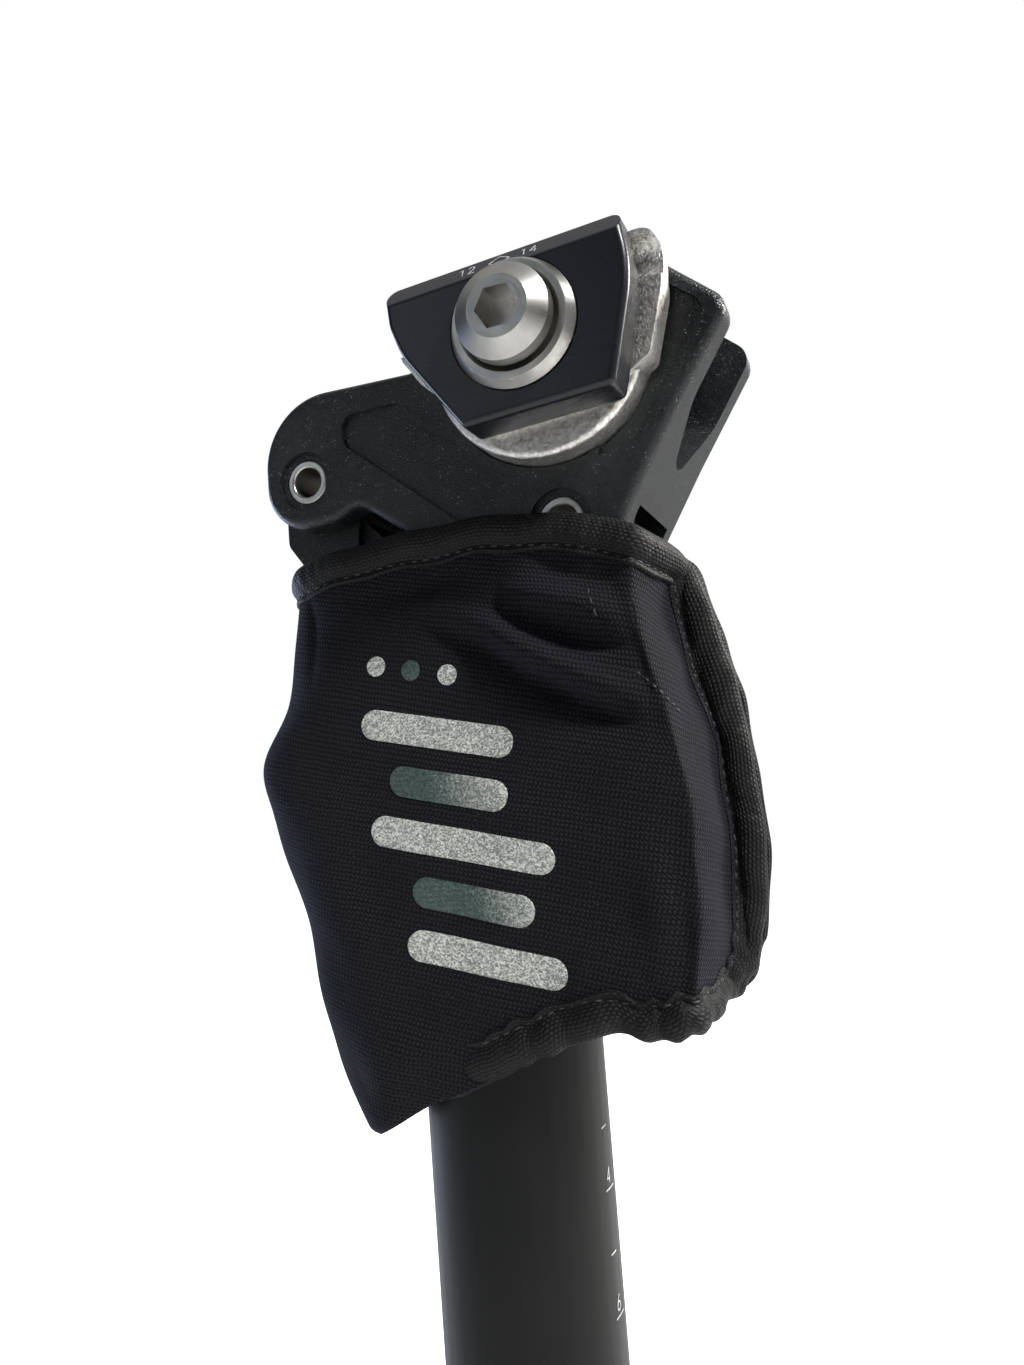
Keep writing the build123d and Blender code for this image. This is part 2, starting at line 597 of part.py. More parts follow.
def make_clamp_bolt():
    head = BOLT_HEAD_DIAMETER / 2
    shank = BOLT_DIAMETER / 2
    under = BOLT_HEAD_BASE - (head - shank) * BOLT_CONE
    bolt = turned([
        (0, -BOLT_END), (shank - 0.8, -BOLT_END), (shank, -BOLT_END + 0.8), (shank, under),
        (head, BOLT_HEAD_BASE), (head, BOLT_SHOULDER), (BOLT_TOP_DIAMETER / 2, BOLT_TOP), (0, BOLT_TOP),
    ])
    x, h = CLAMP_CENTRE
    mouth = Plane(origin=(x, BOLT_TOP, DATUM + h), x_dir=(1, 0, 0), z_dir=(0, -1, 0))
    return bolt - mouth.location * hex_bar(BOLT_HEX, BOLT_HEX_DEPTH)


def make_clamp_nut():
    head = BOLT_HEAD_DIAMETER / 2
    hole = BOLT_DIAMETER / 2 + NUT_THREAD_GAP
    under = BOLT_HEAD_BASE - (head - hole) * BOLT_CONE
    return turned([
        (hole, -under), (head, -BOLT_HEAD_BASE), (head, -NUT_TOP + 2.4),
        (BOLT_TOP_DIAMETER / 2 + 0.8, -NUT_TOP), (hole, -NUT_TOP),
    ])


# ---- Cover

def cover_half_width(x, nose, depth, squareness, pinch, flap, half_width, tip):
    """Half width of a section: blunt nose, parallel sides, and a tail pinched to its tip."""
    if x > nose - depth:
        share = (x - nose + depth) / depth
        return half_width * (1 - share ** squareness) ** (1 / squareness)
    if x > pinch:
        return half_width
    t = min(1.0, (pinch - x) / (pinch - flap))
    return half_width + (tip - half_width) * t * t * (3 - 2 * t)


def cover_section(section, inset, tip):
    """Closed spline of one horizontal section, inset from the outer surface."""
    height, nose, depth, squareness, pinch, flap, rear, room = section
    half_width = COVER_INSIDE + room
    front = nose - inset
    back = rear + inset
    count = COVER_SECTION_POINTS
    left = []
    for i in range(1, count):
        x = front - (front - back) * (1 - cos(pi * i / count)) / 2
        tail = (pinch + inset, flap + inset)
        width = cover_half_width(x, front, depth, squareness, *tail, half_width - inset, tip)
        end_share = min(1.0, (x - back) / (2 * tip))
        left.append((x, width * sqrt(1 - (1 - end_share) ** 2)))
    right = [(x, -y) for x, y in reversed(left)]
    curve = Spline(*[(front, 0), *left, (back, 0), *right], periodic=True)
    return Pos(0, 0, DATUM + height) * make_face(curve)


def cover_solid(inset, tip):
    return loft([cover_section(section, inset, tip) for section in COVER_SECTIONS])


def make_cover_parts():
    """Knit panel, top hem and edge binding of the wrap cover."""
    edge = outline(COVER_EDGE)
    shape = cover_solid(0.0, COVER_FLAP_THICKNESS) & slab(edge, -FAR, FAR)
    shape -= cover_solid(COVER_WALL, COVER_FLAP_THICKNESS - COVER_WALL)

    top = COVER_EDGE[:6]
    above = outline([
        (FAR, FAR, 0), *[(x, h - BINDING_WIDTH, radius) for x, h, radius in top], (-FAR, FAR, 0),
    ])
    hem = shape & slab(above, -FAR, FAR)
    below = shape - slab(Pos(0, -HEM_GAP) * above, -FAR, FAR)

    left, right = COVER_EDGE[5][0] + 3.0, COVER_EDGE[0][0]
    front_part = Pos(right / 2, FAR / 2 - 8.0) * Rectangle(right, FAR)
    top_part = Pos(left / 2, FAR / 2 + 50.0) * Rectangle(-left, FAR)
    keep = slab(offset(edge, amount=-BINDING_WIDTH) + front_part + top_part, -FAR, FAR)
    return hem, below & keep, below - keep


def make_closure_strip():
    """Hook-and-loop strip between the two rear flaps."""
    half = STRIP_THICKNESS / 2
    strip = outline([
        (-36.6, 51.5, 1.0), (-42.0, 50.0, 1.0), (-44.0, 24.0, 30.0), (-43.4, 4.0, 1.0),
        (-39.8, 4.0, 1.0), (-40.6, 24.0, 30.0),
    ])
    return slab(strip, -half, half)


if __name__ == "__main__":
    os.makedirs("parts", exist_ok=True)

    upper_half = UPPER_OUT - COUNTERBORE_DEPTH / 2
    lower_half = LOWER_OUT
    inner_jaw = make_inner_jaw()
    outer_jaw = make_outer_jaw()
    washer = make_washer()
    hem, panel, binding = make_cover_parts()
    parts = {
        "seat_tube": make_seat_tube(),
        "lower_body": make_lower_body(),
        "top_out_bumper": make_top_out_bumper(),
        "front_link": make_front_link(),
        "rear_link": make_rear_link(),
        "front_lower_axle": make_axle(FRONT_LOWER, lower_half),
        "rear_lower_axle": make_axle(REAR_LOWER, lower_half),
        "front_upper_axle": make_axle(FRONT_UPPER, upper_half),
        "rear_upper_axle": make_axle(REAR_UPPER, upper_half),
        "front_lower_bushes": make_bushes(FRONT_LOWER, LOWER_GAP, RUNNING_GAP),
        "rear_lower_bushes": make_bushes(REAR_LOWER, LOWER_GAP, RUNNING_GAP),
        "front_upper_bushes": make_bushes(FRONT_UPPER, UPPER_GAP, RUNNING_GAP),
        "rear_upper_bushes": make_bushes(REAR_UPPER, UPPER_GAP, OPEN_PIVOT_GAP),
        "coil_spring": make_coil_spring(),
        "lower_spring_seat": make_lower_spring_seat(),
        "upper_spring_cap": make_upper_spring_cap(),
        "preload_screw": make_preload_screw(),
        "upper_body": make_upper_body(),
        "inner_jaw_left": inner_jaw,
        "inner_jaw_right": mirror(inner_jaw, about=Plane.XZ),
        "outer_jaw_left": outer_jaw,
        "outer_jaw_right": mirror(outer_jaw, about=Plane.XZ),
        "cradle_sleeve": make_cradle_sleeve(),
        "bolt_washer": washer,
        "nut_washer": mirror(washer, about=Plane.XZ),
        "clamp_bolt": make_clamp_bolt(),
        "clamp_nut": make_clamp_nut(),
        "cover": panel,
        "cover_closure_strip": make_closure_strip(),
        "cover_top_hem": hem,
        "cover_edge_binding": binding,
    }
    for name, shape in parts.items():
        export_step(shape, f"parts/{name}.step")
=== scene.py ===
import json

import bpy
import numpy as np
from mathutils import Matrix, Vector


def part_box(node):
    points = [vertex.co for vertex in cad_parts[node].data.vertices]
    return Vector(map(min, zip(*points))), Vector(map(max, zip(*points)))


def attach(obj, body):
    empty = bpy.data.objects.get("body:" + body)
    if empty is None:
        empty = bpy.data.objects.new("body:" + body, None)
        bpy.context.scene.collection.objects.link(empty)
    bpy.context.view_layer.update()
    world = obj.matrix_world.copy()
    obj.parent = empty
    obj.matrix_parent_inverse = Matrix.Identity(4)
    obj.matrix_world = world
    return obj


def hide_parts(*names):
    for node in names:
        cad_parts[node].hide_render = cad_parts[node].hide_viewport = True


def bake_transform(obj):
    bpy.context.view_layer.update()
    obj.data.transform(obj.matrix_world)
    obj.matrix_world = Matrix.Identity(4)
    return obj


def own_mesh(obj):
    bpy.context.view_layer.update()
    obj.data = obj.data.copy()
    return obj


# Suspension seatpost: finishes, knit cover, tapes, stitching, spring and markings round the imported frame.
# Shapes are worked out in millimetres as (x, y, height over the linkage datum) and put into the
# row frame, in metres, by to_row.

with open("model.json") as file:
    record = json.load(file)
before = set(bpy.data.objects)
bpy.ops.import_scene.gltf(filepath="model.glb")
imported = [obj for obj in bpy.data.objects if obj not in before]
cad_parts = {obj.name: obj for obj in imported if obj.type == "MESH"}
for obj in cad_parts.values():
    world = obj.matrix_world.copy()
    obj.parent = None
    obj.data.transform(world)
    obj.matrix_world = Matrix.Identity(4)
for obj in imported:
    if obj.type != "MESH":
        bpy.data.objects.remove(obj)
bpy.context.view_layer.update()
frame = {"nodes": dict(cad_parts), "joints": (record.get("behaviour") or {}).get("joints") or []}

MM = 0.001
DATUM = 246.0                   # height of the linkage datum over the post's lower end
POST_RADIUS = 15.45

# ---- Cover
COVER_WALL = 1.3
FLAP_HALF = 2.6
# height, nose x, nose depth, nose squareness, pinch x, flap x, rear x, half width
COVER_SECTIONS = [
    (-34.0, 23.0, 15.0, 2.4, -27.0, -32.0, -38.0, 17.6),
    (-14.0, 30.8, 17.5, 2.5, -33.5, -38.0, -44.0, 18.8),
    (0.0, 33.4, 18.0, 2.6, -37.0, -41.5, -46.8, 18.9),
    (12.0, 36.2, 19.0, 2.7, -38.0, -42.0, -47.0, 18.9),
    (25.0, 39.8, 19.5, 3.0, -37.8, -41.5, -46.8, 18.9),
    (33.0, 40.8, 19.5, 3.2, -36.5, -40.5, -46.4, 18.8),
    (45.0, 36.2, 18.5, 2.7, -33.5, -38.0, -45.2, 18.3),
    (54.0, 34.0, 18.0, 2.6, -31.5, -37.0, -44.0, 17.8),
    (66.0, 33.3, 18.0, 2.6, -33.5, -38.5, -42.0, 17.3),
    (76.0, 33.0, 18.0, 2.6, -33.5, -38.0, -40.5, 17.2),
]
# side view of the cover's edge, from under the nose back, up and forward: x, height, corner radius
COVER_EDGE = [
    (26.0, -31.0, 0.0),
    (21.0, -29.6, 8.0),
    (8.0, -22.6, 30.0),
    (-22.0, -10.0, 12.0),
    (-41.2, -13.6, 15.0),
    (-46.6, 12.0, 60.0),
    (-44.6, 38.0, 60.0),
    (-38.6, 62.8, 9.0),
    (-26.0, 68.6, 30.0),
    (-10.0, 70.8, 40.0),
    (9.0, 70.2, 40.0),
    (34.0, 67.4, 0.0),
]


# ---- Shared geometry

def to_row(points):
    """Millimetres over the linkage datum to row-frame metres: (x, y, height + DATUM) / 1000."""
    return (np.asarray(points, float) + (0.0, 0.0, DATUM)) * MM


def smooth(at, knots):
    """Cubic through (place, value, ...) knots, held flat past the ends. Between two knots, with s from 0
    to 1: v0 (1 - 3s^2 + 2s^3) + v1 (3s^2 - 2s^3) + step (m0 s (1 - s)^2 - m1 s^2 (1 - s)), where m is
    the mean slope at a knot."""
    knots = np.asarray(knots, float)
    place, value = knots[:, 0], knots[:, 1:]
    slope = np.gradient(value, place, axis=0)
    at = np.clip(at, place[0], place[-1])
    i = np.clip(np.searchsorted(place, at, side="right") - 1, 0, len(place) - 2)
    step = (place[i + 1] - place[i])[..., None]
    s = (at - place[i])[..., None] / step
    rise = s * s * (3 - 2 * s)
    bend = s * (1 - s) ** 2 * step * slope[i] - s * s * (1 - s) * step * slope[i + 1]
    return value[i] * (1 - rise) + value[i + 1] * rise + bend


def unit(vectors):
    """Vectors over their own lengths."""
    return vectors / np.maximum(np.linalg.norm(vectors, axis=-1, keepdims=True), 1e-9)


def lengths(line):
    """Length along a line at each of its points."""
    return np.concatenate([[0], np.cumsum(np.linalg.norm(np.diff(line, axis=0), axis=1))])


def read_at(line, along, places):
    """Points on a line of pairs, at places given as lengths along it."""
    return np.stack([np.interp(places, along, line[:, k]) for k in (0, 1)], axis=-1)


def mesh_object(name, points, faces, uv=None):
    """Smooth mesh object from row-frame points, faces, and a UV pair for each face corner."""
    mesh = bpy.data.meshes.new(name)
    mesh.from_pydata(points.reshape(-1, 3).tolist(), [], faces if isinstance(faces, list) else faces.tolist())
    mesh.polygons.foreach_set("use_smooth", np.ones(len(mesh.polygons), bool))
    if uv is not None:
        mesh.uv_layers.new(name="UVMap").data.foreach_set("uv", np.asarray(uv, np.float32).ravel())
    mesh.update()
    made = bpy.data.objects.new(name, mesh)
    bpy.context.scene.collection.objects.link(made)
    return made


def grid_faces(rows, columns, round_rows=False, round_columns=False):
    """Quads of a grid of points, and the same quads as places in the unrolled grid for UVs."""
    i, j = np.meshgrid(
        np.arange(rows - (not round_rows)), np.arange(columns - (not round_columns)), indexing="ij"
    )
    corners = [(i, j), (i, j + 1), (i + 1, j + 1), (i + 1, j)]
    faces = np.stack([(a % rows) * columns + b % columns for a, b in corners], axis=-1).reshape(-1, 4)
    places = np.stack([np.stack([a, b], axis=-1) for a, b in corners], axis=2).reshape(-1, 4, 2)
    return faces, places


def grid_object(name, points, u=None, v=None, round_rows=False, round_columns=False):
    """Mesh over a grid of points (rows, columns, 3). u and v are lengths along columns and rows in mm,
    one more than the points where the grid closes on itself."""
    rows, columns = points.shape[:2]
    faces, places = grid_faces(rows, columns, round_rows, round_columns)
    uv = None
    if u is not None:
        u = np.broadcast_to(u, (rows + round_rows, columns + round_columns))
        v = np.broadcast_to(v, (rows + round_rows, columns + round_columns))
        a, b = places[..., 0], places[..., 1]
        uv = np.stack([u[a, b], v[a, b]], axis=-1) * MM
    return mesh_object(name, to_row(points), faces, uv)


def rod_object(name, rings):
    """Mesh over a row of rings of points, closed at both ends."""
    rows, columns = rings.shape[:2]
    faces, _ = grid_faces(rows, columns, round_columns=True)
    caps = [list(range(columns))[::-1], list(range((rows - 1) * columns, rows * columns))]
    return mesh_object(name, to_row(rings), faces.tolist() + caps)


# ---- Cover surface

TABLE_STEP = 0.5
TABLE_HEIGHTS = np.arange(-42.0, 82.0, TABLE_STEP)
TABLE_COUNT = 480


def half_width(x, nose, depth, squareness, pinch, flap, width):
    """Blunt superellipse nose, width (1 - t^n)^(1/n) with t the share of the nose's depth, parallel sides,
    and a tail that a smooth step 3u^2 - 2u^3 brings to the closed flaps."""
    share = np.clip((x - nose + depth) / depth, 0, 1)
    blunt = width * (1 - share ** squareness) ** (1 / squareness)
    tail = np.clip((pinch - x) / (pinch - flap), 0, 1)
    return blunt + (FLAP_HALF - width) * tail * tail * (3 - 2 * tail)


def section_table():
    """x and half width of every section at even arc lengths from the nose, and each section's length.
    x runs by a cosine from nose to rear, the arc adds up hypot(dx, dy), and both are read back evenly."""
    nose, depth, squareness, pinch, flap, rear, width = (
        column[:, None] for column in smooth(TABLE_HEIGHTS, COVER_SECTIONS).T
    )
    turn = (1 - np.cos(np.linspace(0, np.pi, TABLE_COUNT))) / 2
    x = nose + (rear - nose) * turn
    y = half_width(x, nose, depth, squareness, pinch, flap, width)
    y[:, 0] = 0.0
    arc = np.cumsum(np.hypot(np.diff(x, axis=1, prepend=x[:, :1]), np.diff(y, axis=1, prepend=0)), axis=1)
    even = np.linspace(0, 1, TABLE_COUNT)
    total = arc[:, -1]
    even_x = np.array([np.interp(even, row / row[-1], line) for row, line in zip(arc, x)])
    even_y = np.array([np.interp(even, row / row[-1], line) for row, line in zip(arc, y)])
    return even_x, even_y, total


SECTION_X, SECTION_Y, SECTION_LENGTH = section_table()


def on_section(around, height):
    """(x, half width) at an arc length from the nose on the section at a height: the table's four nearest
    values, weighted by how near each is."""
    row = np.clip((height - TABLE_HEIGHTS[0]) / TABLE_STEP, 0, len(TABLE_HEIGHTS) - 1.001)
    low = row.astype(int)
    share = row - low
    found = []
    for table in (SECTION_X, SECTION_Y):
        ends = []
        for line in (low, low + 1):
            place = np.clip(around / SECTION_LENGTH[line], 0, 1) * (TABLE_COUNT - 1.001)
            column = place.astype(int)
            near, far = table[line, column], table[line, column + 1]
            ends.append(near * (1 - place + column) + far * (place - column))
        found.append(ends[0] * (1 - share) + ends[1] * share)
    return found


def arc_at(x, height):
    """Arc length from the nose to a side-view place, by halving the interval that holds it."""
    low, high = np.zeros_like(x), np.full_like(x, SECTION_LENGTH.max())
    for _ in range(30):
        middle = (low + high) / 2
        ahead = on_section(middle, height)[0] > x
        low, high = np.where(ahead, middle, low), np.where(ahead, high, middle)
    return (low + high) / 2


def rounded(corners, step=0.8):
    """Side-view line through (x, height, radius) corners at an even step, each corner rounded by a
    quadratic curve that starts and ends radius * tan(turn / 2) from it."""
    corners = np.array(corners, float)
    points = [corners[0, :2]]
    for before, here, after in zip(corners, corners[1:], corners[2:]):
        into, out = unit(here[:2] - before[:2]), unit(after[:2] - here[:2])
        turn = np.arccos(np.clip(into @ out, -1, 1))
        reach = here[2] * np.tan(turn / 2)
        start, end = here[:2] - into * reach, here[:2] + out * reach
        share = np.linspace(0, 1, 17)[:, None]
        points += list((1 - share) ** 2 * start + 2 * share * (1 - share) * here[:2] + share ** 2 * end)
    points = np.array(points + [corners[-1, :2]])
    along = lengths(points)
    return read_at(points, along, np.linspace(0, along[-1], int(along[-1] / step)))


def edge_path():
    """The cover's left edge as (arc from the nose, height), from under the nose round to its top."""
    line = rounded(COVER_EDGE)
    nose = smooth(line[:, 1], COVER_SECTIONS)[:, 0]
    line = line[line[:, 0] < nose - 0.02]
    around = arc_at(line[:, 0], line[:, 1])
    path = np.stack([around, line[:, 1]], axis=1)
    first, last = path[0].copy(), path[-1].copy()
    first[0] = last[0] = 0.0
    return np.vstack([first, path, last])


EDGE = edge_path()


def split_edge():
    """The edge's bottom, rear and top stretches: the rear one is where it runs nearer to upright than
    to level, far round from the nose."""
    tangent = unit(np.gradient(EDGE, axis=0))
    upright = np.flatnonzero((EDGE[:, 0] > 60) & (tangent[:, 1] > 0.707))
    low, high = upright[0], upright[-1]
    return EDGE[: low + 1], EDGE[low: high + 1], EDGE[high:][::-1]


BOTTOM, REAR, TOP = split_edge()


def fall(distance):
    """Bell exp(-d^2): 1 at no distance, 0.02 at two widths."""
    return np.exp(-distance * distance)


def ridge(x, height, path, width, rise):
    """A fold along a side-view path: rise * profile(g) * sin(pi * share of the path), where g is the
    distance to the path over the fold's half width. A ridge's profile is a bell, exp(-g^2), and a valley's
    a crease, exp(0.3 - sqrt(g^2 + 0.09)), under a bell 2.5 times as wide."""
    path = np.asarray(path, float)
    line = smooth(np.linspace(0, len(path) - 1, 25), np.column_stack([np.arange(len(path)), path]))
    nearest = np.full(x.shape, 1e9)
    along = np.zeros(x.shape)
    for k, (a, b) in enumerate(zip(line, line[1:])):
        d = b - a
        t = np.clip(((x - a[0]) * d[0] + (height - a[1]) * d[1]) / (d @ d), 0, 1)
        gap = np.hypot(x - a[0] - t * d[0], height - a[1] - t * d[1])
        along = np.where(gap < nearest, (k + t) / (len(line) - 1), along)
        nearest = np.minimum(gap, nearest)
    gap = nearest / width
    bell, crease = fall(gap), np.exp(0.3 - np.sqrt(gap * gap + 0.09)) * fall(gap / 2.5)
    profile = RIDGE_RISE * bell if rise > 0 else VALLEY_RISE * crease
    return rise * profile * np.sin(np.pi * np.clip(along, 0.0, 1.0))


# folds of each side in side view: path, half width, rise
LEFT_FOLDS = [
    ([(6, 58.5), (-6.7, 53.5), (-14, 48.7), (-20, 45), (-27.5, 41), (-35, 37.5)], 2.3, 3.0),
    ([(9, 57), (-4, 51), (-13, 44.5), (-22, 39.5), (-28, 36.5), (-33, 34)], 2.2, -2.2),
    ([(-10, 59), (-17, 56.5), (-25, 54), (-33, 50.5)], 2.6, 2.2),
    ([(-6, 57.5), (-13, 53.8), (-21, 50), (-28, 47.5), (-32, 47)], 1.5, -1.8),
    ([(-15, 64), (-19, 61), (-25, 58.5), (-31, 57.5)], 2.0, -1.1),
    ([(18, 60), (6, 60.5), (-6, 62.5)], 3.2, -1.0),
    ([(26.5, 65), (25.5, 56), (25.0, 45)], 1.0, -0.6),
    ([(-27, 61), (-30.5, 52), (-33.0, 42), (-34.5, 30)], 1.6, -0.8),
    ([(-35.0, 18), (-35.7, 4), (-34.3, -10)], 1.8, -0.8),
    ([(-31, 22), (-32.5, 8), (-31, -6)], 3.4, 0.9),
    ([(20, -20), (12, -15), (0, -8)], 4.0, 0.9),
    ([(30, 20), (22, 12), (18, 0), (16, -14)], 4.5, 0.7),
]
RIGHT_FOLDS = [
    ([(6, 50), (-6, 46), (-16, 40), (-30, 36)], 2.8, 2.4),
    ([(4, 45), (-8, 40), (-20, 34), (-33, 30)], 2.8, -1.6),
    ([(-10, 60), (-20, 55), (-31, 52)], 2.6, 1.6),
    ([(-30, 58), (-36, 44), (-38.5, 30)], 1.6, -1.0),
    ([(20, 20), (8, 10), (-6, 6)], 4.5, 1.0),
    ([(24, -16), (10, -12), (-4, -4)], 4.0, 0.8),
]
RIDGE_RISE, VALLEY_RISE = 1.5, 1.2          # what the rises above are multiplied by
SIDE_REACH = 14.0               # arc from the nose over which one side's folds give way to the other's
GATHER = 6.3                    # length of one pucker where the tape draws the cloth in
GATHER_RISE, GATHER_HEIGHT = 0.32, 7.0      # its rise, and how far up the cloth it fades
GATHER_START, GATHER_REACH = 42.0, 18.0     # arc where the puckers begin, and over which they grow
# slow waves: rise, radians a millimetre round and up, start
WAVES = [(0.22, 0.21, 0.33, 0.0), (0.18, 0.37, -0.19, 1.3)]


def gathered(around):
    """0 towards the nose and 1 behind, in a straight ramp, where the tape's elastic draws the cloth in."""
    return np.clip((np.abs(around) - GATHER_START) / GATHER_REACH, 0, 1)


def relief(around, height):
    """How far the cloth stands out of its plain shape: the sum of each side's folds, of two slow sine
    waves, and of the puckers, sin(2 pi arc / GATHER) with an uneven start, fading upwards from the lower
    edge as a bell."""
    x = on_section(np.abs(around), height)[0]
    left = sum(ridge(x, height, *fold) for fold in LEFT_FOLDS)
    right = sum(ridge(x, height, *fold) for fold in RIGHT_FOLDS)
    waves = sum(rise * np.sin(a * around + b * height + start) for rise, a, b, start in WAVES)
    side = np.clip(around / SIDE_REACH, -1, 1) / 2 + 0.5
    over = height - np.interp(np.abs(around), BOTTOM[:, 0], BOTTOM[:, 1])
    drawn = np.sin(2 * np.pi * around / GATHER + 1.6 * np.sin(around / 4.1))
    puckers = GATHER_RISE * drawn * fall(over / GATHER_HEIGHT) * gathered(around)
    return left * side + right * (1 - side) + waves + puckers


def plain(around, height):
    """The cover's plain outer surface: (x, half width * side, height)."""
    x, y = on_section(np.abs(around), height)
    return np.stack([x, y * np.sign(around), np.broadcast_to(height, x.shape)], axis=-1)


def normals_of(surface, around, height, step=0.25):
    """Outward normals of a surface of (arc, height): its slope round crossed with its slope up."""
    across = surface(around + step, height) - surface(around - step, height)
    up = surface(around, height + step) - surface(around, height - step)
    return unit(np.cross(across, up))


def folded(around, height):
    """The outer surface with its folds: plain + normal * relief."""
    return plain(around, height) + normals_of(plain, around, height) * relief(around, height)[..., None]


def on_cover(around, height, lift):
    """Points a lift above the folded cloth: folded + its normal * lift."""
    return folded(around, height) + normals_of(folded, around, height) * np.asarray(lift)[..., None]


# ---- Pieces of the cover

PANEL_ROWS, PANEL_COLUMNS = 136, 341
HEM_ROLL, ROLL_REACH = 1.1, 2.0             # how far the hem turns in, and over what height


def panel_grid():
    """(arc, height) over the whole cloth: columns from the right flap round the nose to the left one,
    arc = u * rear edge's arc, and rows up it, height = low (1 - v) + high v between the two edges. Each
    depends on the other, so they are worked out in rounds."""
    u, v = np.meshgrid(np.linspace(-1, 1, PANEL_COLUMNS), np.linspace(0, 1, PANEL_ROWS))
    height = -10 + 70 * v
    for _ in range(12):
        around = np.abs(u) * np.interp(height, REAR[:, 1], REAR[:, 0])
        low = np.interp(around, BOTTOM[:, 0], BOTTOM[:, 1])
        high = np.interp(around, TOP[:, 0], TOP[:, 1])
        height = low * (1 - v) + high * v
    return around * np.sign(u), height


def tucked(around, height, start=40.0, reach=14.0):
    """1 under the nose, where the tape is turned up inside the cloth, and 0 along the rest of the edge:
    3s^2 - 2s^3, with s the share of the reach before the start."""
    share = np.clip((start - np.abs(around)) / reach, 0, 1) * (height < 0)
    return share * share * (3 - 2 * share)


def knit_cover():
    """The cloth's outer face, on_cover(arc, height, roll), and a wall on its inside. The roll turns the
    hem under the nose in, by HEM_ROLL (1 - over / ROLL_REACH)^2. Returns the piece and its (arc, height)
    grid."""
    around, height = panel_grid()
    over = height - np.interp(np.abs(around), BOTTOM[:, 0], BOTTOM[:, 1])
    roll = -HEM_ROLL * np.clip(1 - over / ROLL_REACH, 0, 1) ** 2 * tucked(around, height)
    cloth = grid_object("knit_cover", on_cover(around, height, roll), around, height)
    wall = cloth.modifiers.new("wall", "SOLIDIFY")
    wall.thickness = COVER_WALL * MM
    wall.offset = -1.0
    wall.use_even_offset = False
    return cloth, around, height


def cut_area(around, height):
    """Square metres of the folded cloth: the sum of its cells' areas, half the diagonals' cross product."""
    grid = folded(around, height)
    first, second = grid[1:, 1:] - grid[:-1, :-1], grid[1:, :-1] - grid[:-1, 1:]
    return float(np.linalg.norm(np.cross(first, second), axis=-1).sum() / 2) * MM * MM


LOOP_STEP = 0.7


def edge_loop():
    """The whole edge as a closed loop of (arc, height) at an even step, left side and then the right side
    back, with its inward directions, the length along it at each point, and its whole length."""
    right = EDGE[-2:0:-1] * (-1, 1)
    loop = np.vstack([EDGE, right, EDGE[:1]])
    along = lengths(loop)
    even = np.linspace(0, along[-1], int(along[-1] / LOOP_STEP), endpoint=False)
    line = read_at(loop, along, even)
    for _ in range(3):
        line = (np.roll(line, 1, axis=0) + 2 * line + np.roll(line, -1, axis=0)) / 4
    inward = unit(np.roll(line, -1, axis=0) - np.roll(line, 1, axis=0)) @ np.array([[0, 1], [-1, 0]])
    for _ in range(6):
        inward = unit(np.roll(inward, 1, axis=0) + 2 * inward + np.roll(inward, -1, axis=0))
    return line, inward, even, along[-1]


LOOP, INWARD, LOOP_ALONG, LOOP_LENGTH = edge_loop()
# the tape's section round the cloth's edge: distance in from the edge, lift over the cloth
TAPE_SECTION = [
    (6.0, -0.1), (6.0, 0.3), (5.75, 0.52), (5.35, 0.5), (5.0, 0.24), (4.7, 0.2), (4.35, 0.55), (3.7, 1.05),
    (2.8, 1.4), (1.8, 1.45), (0.8, 1.1), (0.0, 0.5), (-0.4, -0.3), (-0.3, -1.1), (0.4, -1.7),
    (1.6, -1.95), (3.2, -1.9), (4.6, -1.6), (5.6, -1.6), (5.95, -1.2),
]
STITCH_LINE = 4.95              # distance of the stitching from the edge
STITCH_PITCH = 2.1


def edge_tape():
    """Tape folded over the cloth's edge: a section of (inset, lift) carried round the loop, at
    on_cover(loop + inward * inset, lift). Sines of the length along it ripple its lift and its inset, and
    under the nose it sinks into the cloth and is turned in."""
    inset, lift = np.array(TAPE_SECTION).T
    sunk = tucked(*LOOP.T, 50.0, 14.0)[:, None]
    tuck = tucked(*LOOP.T)[:, None]
    low = (LOOP[:, 1] < 0)[:, None] * gathered(LOOP[:, :1])
    along = LOOP_ALONG[:, None]
    ripple = 1 + 0.10 * np.sin(along * 2 * np.pi / STITCH_PITCH) + 0.12 * np.sin(along * 0.83 + 1.0)
    drawn = np.sin(along * 2 * np.pi / GATHER + 1.8 * np.sin(along / 4.3))
    sway = 0.26 * low * drawn + 0.12 * np.sin(along * 0.47)
    swayed = inset * (1 + sway / 6) + sway + 1.4 * tuck - 0.5 * sunk
    place = LOOP[:, None] + INWARD[:, None] * swayed[..., None]
    rise = np.where(lift > 0, lift * ripple, lift) * (1 - 0.6 * sunk * (lift > 0)) - 1.5 * sunk - 0.4 * tuck
    points = on_cover(place[..., 0], place[..., 1], rise)
    steps = np.hypot(np.diff(inset, append=inset[0]), np.diff(lift, append=lift[0]))
    across = np.concatenate([[0], np.cumsum(steps)])
    along = np.append(LOOP_ALONG, LOOP_LENGTH)[:, None]
    tape = grid_object("edge_tape", points, along, across[None, :], round_rows=True, round_columns=True)
    smoothing = tape.modifiers.new("smoothing", "SUBSURF")
    smoothing.levels = smoothing.render_levels = 1
    return tape


